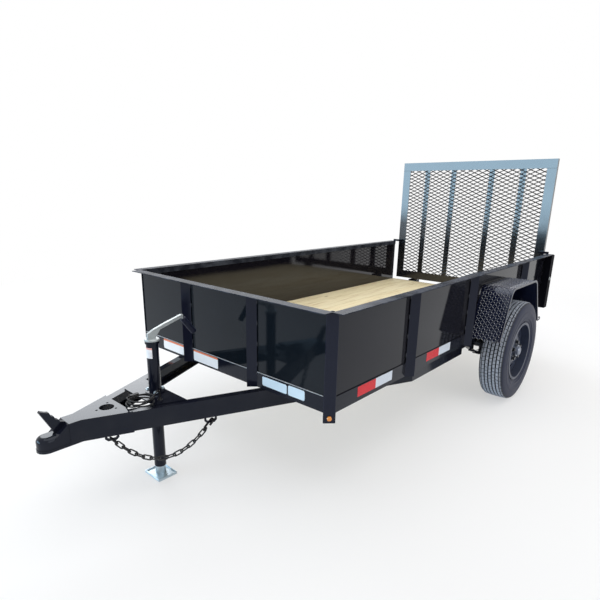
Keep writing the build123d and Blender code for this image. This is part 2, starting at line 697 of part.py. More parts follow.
# Lamps: amber markers low on the cut corners of the front posts, red tail lamps on the rear posts
with BuildPart() as marker_lamps:
    for side in (1, -1):
        cut_middle = (FRONT_X - POST_CUT / 2, side * (SIDE_Y - POST_CUT / 2), MARKER_Z)
        with BuildSketch(Plane(origin=cut_middle, x_dir=(0, 0, 1), z_dir=(1, side, 0))):
            Circle(MARKER_RADIUS)
        extrude(amount=MARKER_HEIGHT)
    chamfer(marker_lamps.edges().filter_by(GeomType.CIRCLE).group_by(Axis.X)[-1], MARKER_HEIGHT / 3)
write(marker_lamps.part, "marker_lamps")
with BuildPart() as tail_lamps:
    for side in (1, -1):
        with Locations((REAR_X - TAIL_DEPTH / 2, side * (SIDE_Y + REAR_POST_DEPTH / 2), TAIL_Z)):
            Box(TAIL_DEPTH, TAIL_WIDTH, TAIL_HEIGHT)
    chamfer(tail_lamps.faces().group_by(Axis.X)[0].edges(), TAIL_DEPTH / 3)
write(tail_lamps.part, "tail_lamps")

# Axle: a straight tube with spring pads under it and a spindle for each hub
AXLE_LINE = Axis((AXLE_X, 0, TYRE_RADIUS), (0, 1, 0))
axle_end = WHEEL_Y - HUB_BACK - HUB_CLEAR
spindle_end = WHEEL_Y + SPINDLE_REACH
pad_bottom = TYRE_RADIUS - AXLE_RADIUS - PAD_DROP
with BuildPart() as axle:
    with BuildSketch(Plane.XZ):
        with Locations((AXLE_X, TYRE_RADIUS)):
            Circle(AXLE_RADIUS)
    extrude(amount=axle_end, both=True)
    with BuildSketch(Plane.XZ):
        with Locations((AXLE_X, TYRE_RADIUS)):
            Circle(SPINDLE_RADIUS)
    extrude(amount=spindle_end, both=True)
    for side in (1, -1):
        block((AXLE_X - PAD_HALF, AXLE_X + PAD_HALF),
              (side * SPRING_Y - SPRING_WIDTH / 2, side * SPRING_Y + SPRING_WIDTH / 2),
              (pad_bottom, TYRE_RADIUS))
write(axle.part, "axle")

# Leaf springs slung under the axle: three leaves bent about one centre, an eye at each end of the longest
spring_radius = (SPRING_HALF_SPAN ** 2 + SPRING_CAMBER ** 2) / (2 * SPRING_CAMBER)
pad_rise = spring_radius - math.sqrt(spring_radius ** 2 - PAD_HALF ** 2)
spring_centre = (AXLE_X, pad_bottom - pad_rise - SEAT_GAP + spring_radius)
spring_turn = math.degrees(math.asin(SPRING_HALF_SPAN / spring_radius))
eye_z = spring_centre[1] - (spring_radius - EYE_RADIUS + LEAF) * math.cos(math.radians(spring_turn))
eye_reach = (spring_radius - EYE_RADIUS + LEAF) * math.sin(math.radians(spring_turn))
leaf_share = (1, 0.72, 0.46)


def leaf_point(radius, angle):
    """A point on the spring's bend, at an angle from straight down."""
    return (spring_centre[0] + radius * math.sin(math.radians(angle)),
            spring_centre[1] - radius * math.cos(math.radians(angle)))


with BuildPart() as leaf_springs:
    for side in (1, -1):
        with BuildSketch(Plane.XZ.offset(-side * SPRING_Y)):
            for index, share in enumerate(leaf_share):
                near = spring_radius + index * LEAF
                far = near + LEAF
                half = share * spring_turn
                with BuildLine():
                    ThreePointArc(leaf_point(near, -half), leaf_point(near, 0), leaf_point(near, half))
                    Line(leaf_point(near, half), leaf_point(far, half))
                    ThreePointArc(leaf_point(far, half), leaf_point(far, 0), leaf_point(far, -half))
                    Line(leaf_point(far, -half), leaf_point(near, -half))
                make_face()
            with Locations((AXLE_X - eye_reach, eye_z), (AXLE_X + eye_reach, eye_z)):
                Circle(EYE_RADIUS)
                Circle(EYE_BOLT_RADIUS + SEAT_GAP, mode=Mode.SUBTRACT)
        extrude(amount=SPRING_WIDTH / 2, both=True)
write(leaf_springs.part, "leaf_springs")

# Spring hangers: two cheeks and a bolt at each eye, on the undersides of the side rails
cheek_in = SPRING_WIDTH / 2 + HANGER_CLEAR
cheek_out = cheek_in + HANGER_WALL
with BuildPart() as spring_hangers:
    for side in (1, -1):
        for end in (1, -1):
            x = AXLE_X + end * eye_reach
            for cheek in (1, -1):
                y = side * SPRING_Y + cheek * (cheek_in + cheek_out) / 2
                block((x - HANGER_LENGTH / 2, x + HANGER_LENGTH / 2), (y - HANGER_WALL / 2, y + HANGER_WALL / 2),
                      (eye_z - HANGER_LENGTH / 2, RAIL_BOTTOM))
            with BuildSketch(Plane.XZ.offset(-side * SPRING_Y)):
                with Locations((x, eye_z)):
                    Circle(EYE_BOLT_RADIUS)
            extrude(amount=cheek_out, both=True)
write(spring_hangers.part, "spring_hangers")

# Tyres, rims and hubs, each turned about the axle's line
half_rim = RIM_WIDTH / 2


def wheel_points(*pairs):
    """Points of a wheel's section from distances outwards along the axle and radii."""
    return [(WHEEL_Y + out, TYRE_RADIUS + radius) for out, radius in pairs]


bead = half_rim - 2 * RIM_WALL
sidewall = (
    # share of half the tyre's width, share of its height above the rim's flange
    (0.93, 0.12), (1, 0.34), (1, 0.56), (0.96, 0.78), (0.885, 0.9), (0.68, 1),
)
tyre_half = [(bead, RIM_RADIUS + SEAT_GAP), (bead, RIM_FLANGE + RIM_WALL)]
for out, up in sidewall:
    tyre_half.append((out * TYRE_WIDTH / 2, RIM_FLANGE + up * (TYRE_RADIUS - RIM_FLANGE)))
with BuildPart() as tyre:
    with BuildSketch(Plane.YZ.offset(AXLE_X)):
        with BuildLine():
            Polyline(*wheel_points(*tyre_half, *[(-out, radius) for out, radius in reversed(tyre_half)]), close=True)
        make_face()
    revolve(axis=AXLE_LINE)
write_pair(tyre.part, "tyre")

with BuildPart() as rim:
    with BuildSketch(Plane.YZ.offset(AXLE_X)):
        with BuildLine():
            Polyline(*wheel_points(
                (-half_rim, RIM_FLANGE), (-half_rim, RIM_RADIUS - RIM_WALL), (half_rim, RIM_RADIUS - RIM_WALL),
                (half_rim, RIM_FLANGE), (half_rim - RIM_WALL, RIM_FLANGE), (half_rim - RIM_WALL, RIM_RADIUS),
                (RIM_WALL - half_rim, RIM_RADIUS), (RIM_WALL - half_rim, RIM_FLANGE)), close=True)
        make_face()
        with BuildLine():
            Polyline(*wheel_points(
                (DISC_FACE, HUB_BORE), (DISC_FACE, DISC_FLAT), (DISC_ROOT, DISC_RING), (DISC_ROOT, RIM_RADIUS - 1),
                (DISC_ROOT - DISC_WALL, RIM_RADIUS - 1), (DISC_ROOT - DISC_WALL, DISC_RING),
                (DISC_FACE - DISC_WALL, DISC_FLAT), (DISC_FACE - DISC_WALL, HUB_BORE)), close=True)
        make_face()
    revolve(axis=AXLE_LINE)
    with BuildSketch(Plane.XZ.offset(-WHEEL_Y - half_rim)):
        with Locations((AXLE_X, TYRE_RADIUS)):
            with PolarLocations((DISC_FLAT + DISC_RING) / 2, VENT_COUNT):
                Circle(VENT_RADIUS)
    extrude(amount=RIM_WIDTH, mode=Mode.SUBTRACT)
write_pair(rim.part, "rim")

with BuildPart() as hub:
    with BuildSketch(Plane.YZ.offset(AXLE_X)):
        with BuildLine():
            barrel = HUB_BORE - SEAT_GAP
            bore = SPINDLE_RADIUS + SEAT_GAP
            behind = DISC_FACE - DISC_WALL
            Polyline(*wheel_points(
                (-HUB_BACK, bore), (SPINDLE_REACH + HUB_CLEAR, bore), (SPINDLE_REACH + HUB_CLEAR, 0), (CAP_END, 0),
                (CAP_END, CAP_RADIUS - 6), (CAP_END - 6, CAP_RADIUS), (HUB_FRONT, CAP_RADIUS), (HUB_FRONT, barrel),
                (behind, barrel), (behind, HUB_FLANGE), (behind - HUB_FLANGE_WALL, HUB_FLANGE),
                (behind - HUB_FLANGE_WALL, barrel), (-HUB_BACK, barrel)), close=True)
        make_face()
    revolve(axis=AXLE_LINE)
write_pair(hub.part, "hub")

# Fenders: bent sheet with a flat top, sloping ends, a lip along the outer edge and a tie loop behind
fender_x = FRONT_X - FENDER_CENTRE_BACK
fender_rear = fender_x - FENDER_REAR_REACH
fender_line = [(fender_x + FENDER_FRONT_REACH, FENDER_BOTTOM), (fender_x + FENDER_TOP_LENGTH / 2, FENDER_TOP),
               (fender_x - FENDER_TOP_LENGTH / 2, FENDER_TOP), (fender_rear, FENDER_BOTTOM)]
fender_layers = (
    # outer face, width along the axle, sheet thickness
    (FENDER_OUTER_Y, FENDER_OUTER_Y - SIDE_Y, FENDER_SHEET),
    (FENDER_OUTER_Y, FENDER_SHEET, FENDER_LIP),
)
with BuildPart() as fender:
    for outer, width, sheet in fender_layers:
        with BuildSketch(Plane.XZ.offset(-outer)):
            with BuildLine():
                FilletPolyline(*fender_line, radius=FENDER_BEND)
            trace(line_width=sheet)
        extrude(amount=width)
    with BuildSketch(Plane.XZ.offset(-FENDER_OUTER_Y)):
        with Locations((fender_rear - TIE_LENGTH / 2 + TIE_LAP, FENDER_BOTTOM + TIE_HEIGHT / 2)):
            SlotOverall(TIE_LENGTH, TIE_HEIGHT)
            SlotOverall(TIE_LENGTH - 2 * TIE_WALL, TIE_HEIGHT - 2 * TIE_WALL, mode=Mode.SUBTRACT)
    extrude(amount=TIE_WALL)
write_pair(fender.part, "fender")

# Gate frame: angles with a face towards the bed and a leg round the outside
gate_front = REAR_X - GATE_GAP
gate_half = GATE_WIDTH / 2
gate_mid = (GATE_TOP + GATE_BOTTOM) / 2
gate_height = GATE_TOP - GATE_BOTTOM
with BuildPart() as gate_frame:
    gate_layers = (
        # width of the members, depth behind the gate's front face
        (GATE_TUBE, GATE_WALL),
        (GATE_WALL, GATE_DEPTH),
    )
    for member, depth in gate_layers:
        with BuildSketch(Plane.YZ.offset(gate_front - depth)):
            with Locations((0, gate_mid)):
                Rectangle(GATE_WIDTH, gate_height)
                Rectangle(GATE_WIDTH - 2 * member, gate_height - 2 * member, mode=Mode.SUBTRACT)
        extrude(amount=depth)
write(gate_frame.part, "gate_frame")

# Gate mesh: expanded sheet against the back of the frame's face
inner_width = GATE_WIDTH - 2 * GATE_WALL
inner_height = gate_height - 2 * GATE_WALL
seen_width = GATE_WIDTH - 2 * GATE_TUBE
seen_height = gate_height - 2 * GATE_TUBE
mesh_margin = GATE_TUBE - GATE_WALL
mesh_columns = 2 * math.ceil(seen_width / MESH_LONG / 2) + 1
mesh_rows = 2 * math.ceil(seen_height / MESH_SHORT / 2) + 1
opening_half = (MESH_LONG / 2 - MESH_STRAND * 1.1, MESH_SHORT / 2 - MESH_STRAND / 2)
with BuildPart() as gate_mesh:
    with BuildSketch(Plane.YZ.offset(gate_front - GATE_WALL - MESH_THICK)):
        with Locations((0, gate_mid)):
            Rectangle(seen_width, seen_height)
            stagger = ((0, 0), (MESH_LONG / 2, MESH_SHORT / 2))
            for shift in stagger:
                with Locations(shift):
                    with GridLocations(MESH_LONG, MESH_SHORT, mesh_columns, mesh_rows):
                        Polygon((opening_half[0], 0), (0, opening_half[1]), (-opening_half[0], 0),
                                (0, -opening_half[1]), align=None, mode=Mode.SUBTRACT)
            for side in (1, -1):
                with Locations((0, side * (inner_height - mesh_margin) / 2)):
                    Rectangle(inner_width, mesh_margin)
                with Locations((side * (inner_width - mesh_margin) / 2, 0)):
                    Rectangle(mesh_margin, inner_height)
    extrude(amount=MESH_THICK)
write(gate_mesh.part, "gate_mesh")

# Gate bars: four upright angles behind the mesh
bar_front = gate_front - GATE_WALL - MESH_THICK
with BuildPart() as gate_bars:
    for y in GATE_BARS_Y:
        low = y - GATE_BAR_WIDTH / 2
        high = y + GATE_BAR_WIDTH / 2
        upright = (GATE_BOTTOM + GATE_WALL, GATE_TOP - GATE_WALL)
        block((bar_front - GATE_WALL, bar_front), (low, high), upright)
        block((bar_front - GATE_BAR_DEPTH, bar_front), (low, low + GATE_WALL), upright)
write(gate_bars.part, "gate_bars")

# Gate hinges: barrels on leaves welded to the gate's foot, on pins between lugs on the sill
hinge_x = REAR_X - HINGE_BACK
leaf_front = gate_front - GATE_DEPTH
with BuildPart() as gate_hinges:
    for y in HINGES_Y:
        block((leaf_front - HINGE_LEAF, leaf_front), (y - HINGE_LENGTH / 2, y + HINGE_LENGTH / 2),
              (HINGE_Z, GATE_BOTTOM + HINGE_LEAF_LAP))
        with BuildSketch(Plane.XZ.offset(-y)):
            with Locations((hinge_x, HINGE_Z)):
                Circle(HINGE_BARREL / 2)
        extrude(amount=HINGE_LENGTH / 2, both=True)
        with BuildSketch(Plane.XZ.offset(-y)):
            with Locations((hinge_x, HINGE_Z)):
                Circle(HINGE_PIN_RADIUS + HINGE_CLEAR)
        extrude(amount=HINGE_LENGTH / 2, both=True, mode=Mode.SUBTRACT)
write(gate_hinges.part, "gate_hinges")
lug_in = HINGE_LENGTH / 2 + HINGE_SIDE_CLEAR
lug_out = lug_in + HINGE_LUG
with BuildPart() as gate_pins:
    for y in HINGES_Y:
        for side in (1, -1):
            block((hinge_x - HINGE_BARREL / 2, REAR_X), (y + side * lug_in, y + side * lug_out),
                  (HINGE_Z - HINGE_BARREL, HINGE_Z + HINGE_BARREL / 2))
        with BuildSketch(Plane.XZ.offset(-y)):
            with Locations((hinge_x, HINGE_Z)):
                Circle(HINGE_PIN_RADIUS)
        extrude(amount=lug_out, both=True)
write(gate_pins.part, "gate_pins")

# Gate latches: a bracket on each side's top rail with a pin drawn back from the gate
latch_z = SIDE_TOP + LATCH_HEIGHT / 2
with BuildPart() as gate_latches:
    for side in (1, -1):
        block((REAR_X + LATCH_SETBACK, REAR_X + LATCH_SETBACK + LATCH_PLATE),
              (side * (LATCH_Y - LATCH_HEIGHT / 2), side * (SIDE_Y + LATCH_HEIGHT / 3)),
              (SIDE_TOP, SIDE_TOP + LATCH_HEIGHT))
        with BuildSketch(Plane.YZ.offset(REAR_X - LATCH_TIP)):
            with Locations((side * LATCH_Y, latch_z)):
                Circle(LATCH_PIN_RADIUS)
        extrude(amount=LATCH_PIN_LENGTH)
write(gate_latches.part, "gate_latches")
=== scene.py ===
"""Looks of a single-axle utility trailer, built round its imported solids. Metres, +X forward, +Z up."""
import math

import bmesh
import bpy
from mathutils import Matrix, Vector


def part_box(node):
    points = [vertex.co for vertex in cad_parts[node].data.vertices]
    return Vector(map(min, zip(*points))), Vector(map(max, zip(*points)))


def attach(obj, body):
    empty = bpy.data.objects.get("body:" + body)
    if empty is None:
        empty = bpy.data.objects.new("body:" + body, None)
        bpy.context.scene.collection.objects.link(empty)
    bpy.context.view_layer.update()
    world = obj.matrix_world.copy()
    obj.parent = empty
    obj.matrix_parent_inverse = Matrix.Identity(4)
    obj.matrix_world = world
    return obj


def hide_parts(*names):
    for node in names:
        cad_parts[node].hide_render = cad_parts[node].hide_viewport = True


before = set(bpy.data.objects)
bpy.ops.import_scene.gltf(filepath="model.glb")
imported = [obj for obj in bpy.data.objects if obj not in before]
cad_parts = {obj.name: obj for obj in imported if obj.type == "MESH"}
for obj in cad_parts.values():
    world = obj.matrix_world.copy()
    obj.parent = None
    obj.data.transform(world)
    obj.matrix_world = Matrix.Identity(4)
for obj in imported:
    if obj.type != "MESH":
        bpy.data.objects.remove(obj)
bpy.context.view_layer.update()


# Camera
# A short lens at chest height, ahead of the trailer's front left corner and turned slightly clockwise.
# The frame's middle lies above the lens axis, so the lens is shifted.
def placed(name, data, *materials):
    """A new object in the scene, with its finishes."""
    piece = bpy.data.objects.new(name, data)
    bpy.context.scene.collection.objects.link(piece)
    for material in materials:
        piece.data.materials.append(material)
    return piece


IMAGE_PIXELS = 600
FOCAL_PIXELS = 472.4
SENSOR_MM = 36
front_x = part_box("front_rail")[1].x
yaw, pitch, roll = math.radians(-138.259), math.radians(16.008), math.radians(1.003)
ahead = Vector((math.cos(yaw) * math.cos(pitch), math.sin(yaw) * math.cos(pitch), -math.sin(pitch)))
level_right = Vector((math.sin(yaw), -math.cos(yaw), 0))
level_up = level_right.cross(ahead)
lens_right = math.cos(roll) * level_right + math.sin(roll) * level_up
lens_up = math.cos(roll) * level_up - math.sin(roll) * level_right
camera = placed("camera", bpy.data.cameras.new("camera"))
camera.data.sensor_width = SENSOR_MM
camera.data.lens = FOCAL_PIXELS / IMAGE_PIXELS * SENSOR_MM
camera.data.shift_x = 0.0055
camera.data.shift_y = 0.0494
camera.data.clip_end = 200
camera.matrix_world = Matrix((lens_right, lens_up, -ahead)).transposed().to_4x4()
camera.location = (front_x + 1.5036, 1.8994, 1.3687)
bpy.context.scene.camera = camera


# Wiring lead
# A round rubber-sheathed lamp lead that comes up through a grommet in the jack plate. It is wound into
# a few loose turns that lie on the plate, and ends in a flat moulded plug on top of them.
class Finish:
    """A finish: a material, its nodes, and the surface that they feed."""

    def __init__(self, name, **constants):
        self.material = bpy.data.materials.new(name)
        self.material.use_nodes = True
        self.tree = self.material.node_tree
        self.surface = self.tree.nodes["Principled BSDF"]
        self.place = self.node("ShaderNodeTexCoord").outputs["Object"]
        self.set(**constants)

    def node(self, kind, settings=None, sockets=None):
        """Add a node: its settings first, then the values or links of its sockets."""
        made = self.tree.nodes.new(kind)
        for key, value in (settings or {}).items():
            setattr(made, key, value)
        for key, value in (sockets or {}).items():
            self.feed(made.inputs[key], value)
        return made

    def feed(self, socket, value):
        """Link a value to a socket, or set it there."""
        if isinstance(value, Shade):
            value = value.socket
        if isinstance(value, bpy.types.NodeSocket):
            self.tree.links.new(value, socket)
        else:
            socket.default_value = value

    def set(self, **fed):
        """Feed the surface's sockets."""
        for socket, value in fed.items():
            self.feed(self.surface.inputs[socket.replace("_", " ")], value)

    def stretched(self, stretch):
        """Object coordinates, drawn out or squeezed along each way."""
        return self.node("ShaderNodeMapping", None, {"Vector": self.place, "Scale": stretch}).outputs[0]

    def clouds(self, scale, detail=3, stretch=(1, 1, 1)):
        """Cloudy noise from 0 to 1."""
        noise = self.node("ShaderNodeTexNoise", None,
                          {"Vector": self.stretched(stretch), "Scale": scale, "Detail": detail})
        return Shade(self, noise.outputs["Fac"])

    def axis(self, letter):
        """One coordinate over the surface, in metres."""
        parts = self.node("ShaderNodeSeparateXYZ", None, {0: self.place})
        return Shade(self, parts.outputs[letter])

    def vector(self, operation, first, second):
        """A vector worked out from two."""
        return self.node("ShaderNodeVectorMath", {"operation": operation}, {0: first, 1: second}).outputs[0]

    def length(self, vector):
        """How long a vector is."""
        made = self.node("ShaderNodeVectorMath", {"operation": "LENGTH"}, {0: vector})
        return Shade(self, made.outputs["Value"])

    def blend(self, share, first, second):
        """A colour between two, by a share that changes over the surface."""
        mix = self.node("ShaderNodeMix", {"data_type": "RGBA"}, {0: share})
        for socket, colour in ((mix.inputs[6], first), (mix.inputs[7], second)):
            self.feed(socket, (*colour, 1) if isinstance(colour, tuple) else colour)
        return mix.outputs[2]

    def bump(self, height, distance, strength):
        """Raise the surface by a height that changes over it."""
        made = self.node("ShaderNodeBump", None,
                         {"Height": height, "Distance": distance, "Strength": strength})
        self.set(Normal=made.outputs[0])


class Shade:
    """A number that changes over a surface; arithmetic on it adds Math nodes to its finish."""

    def __init__(self, finish, socket):
        self.finish = finish
        self.socket = socket

    def work(self, operation, *values):
        """A Math node on one or two values."""
        made = self.finish.node("ShaderNodeMath", {"operation": operation}, dict(enumerate(values)))
        return Shade(self.finish, made.outputs[0])

    def __add__(self, other):
        return self.work("ADD", self, other)

    __radd__ = __add__

    def __mul__(self, other):
        return self.work("MULTIPLY", self, other)

    __rmul__ = __mul__

    def __sub__(self, other):
        return self.work("SUBTRACT", self, other)

    def __rsub__(self, other):
        return self.work("SUBTRACT", other, self)

    def __truediv__(self, other):
        return self.work("DIVIDE", self, other)

    def __rtruediv__(self, other):
        return self.work("DIVIDE", other, self)

    def floor(self):
        """The whole number below."""
        return self.work("FLOOR", self)

    def over(self, edge):
        """1 where the number passes an edge, 0 elsewhere."""
        return self.work("GREATER_THAN", self, edge)

    def either(self, other):
        """The larger of two numbers."""
        return self.work("MAXIMUM", self, other)

    def ramp(self, low, high):
        """0 at low and 1 at high, held outside them."""
        made = self.finish.node("ShaderNodeMapRange", None,
                                {"Value": self, "From Min": low, "From Max": high})
        return Shade(self.finish, made.outputs[0])


def sheath_rubber(name, colour):
    """Matt rubber with faint scuffs."""
    finish = Finish(name, Specular_IOR_Level=0.15)
    scuff = finish.clouds(90, 4)
    scuffed = tuple(c * 1.6 + 0.004 for c in colour)
    finish.set(Base_Color=finish.blend(scuff.ramp(0.4, 0.75), colour, scuffed), Roughness=0.34 + 0.22 * scuff)
    finish.bump(finish.clouds(900, 2), 0.0002, 0.4)
    return finish.material


def paint(material, *names):
    """Give a finish to solids that keep their shape."""
    for node in names:
        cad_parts[node].data.materials.clear()
        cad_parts[node].data.materials.append(material)


lead_rubber = sheath_rubber("lead_rubber", (0.012, 0.012, 0.013))
LEAD_DIAMETER = 0.007
TURNS = 3.4
TURN_STEPS = 51
COIL_START = math.radians(78)
COIL_RADIUS = 0.0585
COIL_UNEVEN = 0.0075
TURN_SHRINK = 0.002
TURN_RISE = 0.0078
FIRST_HEIGHT = 0.0042
ENTRY_HEIGHT = 0.021
ENTRY_TURN = 0.2
plate_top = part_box("jack_plate")[1].z
coil_low, coil_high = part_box("harness_coil")
coil_middle = (coil_low + coil_high) / 2
plug_low, plug_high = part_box("harness_plug")
plug_mouth = Vector((plug_high.x, (plug_low.y + plug_high.y) / 2, (plug_low.z + plug_high.z) / 2))
lead_route = (
    # ahead of the front rail, left of the coil's middle, above the plate
    (0.425, 0.020, 0.010), (0.425, 0.020, 0.034), (0.434, 0.032, 0.054), (0.458, 0.046, 0.054),
    (0.486, 0.058, 0.038),
)
lead_points = [Vector((front_x + x, coil_middle.y + y, plate_top + z)) for x, y, z in lead_route]
for step in range(TURN_STEPS):
    wound = TURNS * step / TURN_STEPS
    angle = COIL_START - math.tau * wound
    radius = COIL_RADIUS + COIL_UNEVEN * math.cos(2 * angle + 2.3 * wound + 0.6) - TURN_SHRINK * wound
    height = FIRST_HEIGHT + TURN_RISE * wound + ENTRY_HEIGHT * max(0, 1 - wound / ENTRY_TURN) ** 1.6
    out_x, out_y = radius * math.cos(angle), radius * math.sin(angle)
    lead_points.append(Vector((coil_middle.x + out_x, coil_middle.y + out_y, plate_top + height)))
lead_points += [plug_mouth + Vector((0.018, 0.003, -0.001)), plug_mouth]
lead_curve = bpy.data.curves.new("wiring_lead", "CURVE")
lead_curve.dimensions = "3D"
lead_curve.bevel_depth = LEAD_DIAMETER / 2
lead_curve.bevel_resolution = 3
lead_curve.resolution_u = 6
lead_spline = lead_curve.splines.new("NURBS")
lead_spline.points.add(len(lead_points) - 1)
for point, place in zip(lead_spline.points, lead_points):
    point.co = (*place, 1)
lead_spline.order_u = 3
lead_spline.use_endpoint_u = True
wiring_lead = placed("wiring_lead", lead_curve, lead_rubber)
paint(lead_rubber, "harness_grommet", "harness_plug")
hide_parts("harness_lead", "harness_coil")
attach(wiring_lead, "chassis")


# Painted steel frame
# Welded angles, channels, tubes and sheet under one coat of gloss black enamel. Sheet panels have long, faint
# ripples, heavy sections finer ones, and road dust gathers towards the ground.
def gloss_black(name, colour, ripple, dust, shine=0.3, rough=0.1, cast=(0.80, 0.88, 1.0), wave=0.0012):
    """Gloss black enamel with a slight ripple and a film of dust low down."""
    finish = Finish(name, Specular_IOR_Level=shine, Specular_Tint=(*cast, 1))
    dirt = finish.clouds(7, 5)
    low = 1 - finish.axis("Z").ramp(0.05, 0.62)
    share = dirt.ramp(0.35, 0.8) * (0.25 + low) * dust
    finish.set(Base_Color=finish.blend(share, colour, (0.11, 0.105, 0.095)),
               Roughness=rough * (0.6 + dirt) + 0.5 * share)
    finish.bump(finish.clouds(ripple, 2) + 0.06 * finish.clouds(420, 1), wave, 0.16)
    return finish.material


def streaked_black(name, clean, lighter, shine):
    """Black enamel on an upward face, with lighter blue-grey streaks: dust and a painted sheen."""
    finish = Finish(name, Specular_IOR_Level=shine)
    streak = finish.clouds(11, 5)
    finish.set(Base_Color=finish.blend(streak.ramp(0.38, 0.7), clean, lighter), Roughness=0.16 + 0.2 * streak)
    finish.bump(finish.clouds(60, 2), 0.0012, 0.2)
    return finish.material


# The one black enamel is made in copies for the frame, panels, stakes and posts. Their slight blue and green
# tints, the blue tint of their reflections and their different shine are painted reflection and shade.
UNTINTED = (1, 1, 1)
frame_paint = gloss_black("frame_paint", (0.005, 0.006, 0.013), 26, 0.12, 0.24)
front_paint = gloss_black("front_paint", (0.006, 0.0085, 0.012), 4, 0.05, 0.2, 0.05)
side_paint = gloss_black("side_paint", (0.008, 0.008, 0.012), 4, 0.08, 0.21, 0.05)
stake_paint = gloss_black("stake_paint", (0.008, 0.009, 0.020), 30, 0.08, 0.24)
post_paint = gloss_black("post_paint", (0.005, 0.005, 0.008), 30, 0.08, 0.002, 0.2)
far_paint = gloss_black("far_paint", (0.006, 0.0055, 0.009), 2.2, 0.03, 0.6, 0.025, UNTINTED, 0.0038)
# The flanges' blue-grey streaks are dust and a painted sheen; the paint itself barely shines.
flange_paint = streaked_black("flange_paint", (0.016, 0.0185, 0.027), (0.060, 0.068, 0.090), 0.012)
paint(frame_paint, "side_rail_left", "side_rail_right", "front_rail", "rear_sill", "cross_members",
      "tongue_beam_left", "tongue_beam_right", "coupler", "coupler_latch", "jack_plate", "jack_tube",
      "chain_loops", "axle", "leaf_springs", "spring_hangers", "gate_pins", "gate_latches")
paint(flange_paint, "side_top_rail_left", "side_top_rail_right", "front_top_rail")
paint(front_paint, "front_panel")
paint(side_paint, "side_panel_left")
paint(far_paint, "side_panel_right")
paint(stake_paint, "front_posts", "front_stakes", "side_stakes_left", "side_stakes_right")
paint(post_paint, "rear_posts")

# Deck
# Planed pine boards laid lengthwise and left bare. Each board has its own tone, long brown streaks
# and a few knots.
BOARDS = 8
BOARD_GAP = 0.003
deck_low, deck_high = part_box("deck_boards")
board_pitch = (deck_high.y - deck_low.y + BOARD_GAP) / BOARDS
pine = Finish("deck_pine")
board = ((pine.axis("Y") - deck_low.y) / board_pitch).floor()
tone = pine.node("ShaderNodeTexWhiteNoise", {"noise_dimensions": "1D"}, {"W": board * 3.7 + 1.3})
tone = Shade(pine, tone.outputs["Value"])
shifted = pine.node("ShaderNodeCombineXYZ", None, {0: tone * 9, 1: tone * 4, 2: 0.0}).outputs[0]
grain_place = pine.vector("ADD", pine.stretched((0.55, 9, 9)), shifted)
grain = pine.node("ShaderNodeTexNoise", None, {"Vector": grain_place, "Scale": 5.5, "Detail": 6})
grain = Shade(pine, grain.outputs["Fac"])
fine = pine.clouds(60, 2, (0.08, 3, 3))
knot_place = pine.vector("ADD", pine.stretched((1.1, 3.4, 3.4)), shifted)
knot = pine.node("ShaderNodeTexVoronoi", None, {"Vector": knot_place, "Scale": 2.1})
knot = 1 - Shade(pine, knot.outputs["Distance"]).ramp(0.02, 0.085)
wood = pine.blend(tone, (0.74, 0.645, 0.405), (0.86, 0.79, 0.555))
wood = pine.blend(grain.ramp(0.52, 0.72) * 0.8, wood, (0.46, 0.32, 0.15))
wood = pine.blend(fine.ramp(0.45, 0.75) * 0.35, wood, (0.5, 0.33, 0.15))
wood = pine.blend(knot * 0.8, wood, (0.2, 0.1, 0.04))
pine.set(Base_Color=wood, Roughness=0.55 + 0.2 * grain)
pine.bump(grain + 0.4 * fine, 0.0015, 0.35)
paint(pine.material, "deck_boards")


# Reflective tape and plates
# Two-colour prismatic tape on both side rails and blank printed plates on the front rail,
# all thin film stuck to the paint.
def mesh_of(name, shape):
    """Turn a finished shape into a plain mesh."""
    mesh = bpy.data.meshes.new(name)
    shape.to_mesh(mesh)
    shape.free()
    return mesh


def film(name, low, high, material, corner=0.0):
    """A thin sheet between two corners, one of its three sizes being the film's thickness."""
    shell = bmesh.new()
    bmesh.ops.create_cube(shell, size=1)
    for vertex in shell.verts:
        vertex.co = Vector([low[i] + (vertex.co[i] + 0.5) * (high[i] - low[i]) for i in range(3)])
    if corner:
        thin = min(range(3), key=lambda i: high[i] - low[i])
        edges = [e for e in shell.edges if abs((e.verts[0].co - e.verts[1].co).normalized()[thin]) > 0.99]
        bmesh.ops.bevel(shell, geom=edges, offset=corner, segments=3, affect="EDGES")
    bmesh.ops.recalc_face_normals(shell, faces=shell.faces)
    piece = placed(name, mesh_of(name, shell), material)
    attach(piece, "chassis")


def prismatic(name, colour, deep):
    """Film whose surface is split into small cells that shine a little differently."""
    finish = Finish(name, Specular_IOR_Level=0.3)
    cells = finish.node("ShaderNodeTexVoronoi", {"feature": "DISTANCE_TO_EDGE"},
                        {"Vector": finish.place, "Scale": 190})
    edge = Shade(finish, cells.outputs["Distance"]).ramp(0.0, 0.12)
    finish.set(Base_Color=finish.blend(edge, deep, colour), Roughness=0.42 - 0.16 * edge)
    finish.bump(edge, 0.0003, 0.3)
    return finish.material


def printed_film(name, colour, band=None, band_from=0.5055):
    """Glossy white film, slightly uneven, with a plain colour band along its top edge if it has one."""
    finish = Finish(name, Specular_IOR_Level=0.5)
    uneven = finish.clouds(45, 3)
    body = finish.blend(uneven * 0.35, colour, tuple(c * 0.86 for c in colour))
    if band:
        body = finish.blend(finish.axis("Z").over(band_from), body, band)
    finish.set(Base_Color=body, Roughness=0.25 + 0.2 * uneven)
    return finish.material


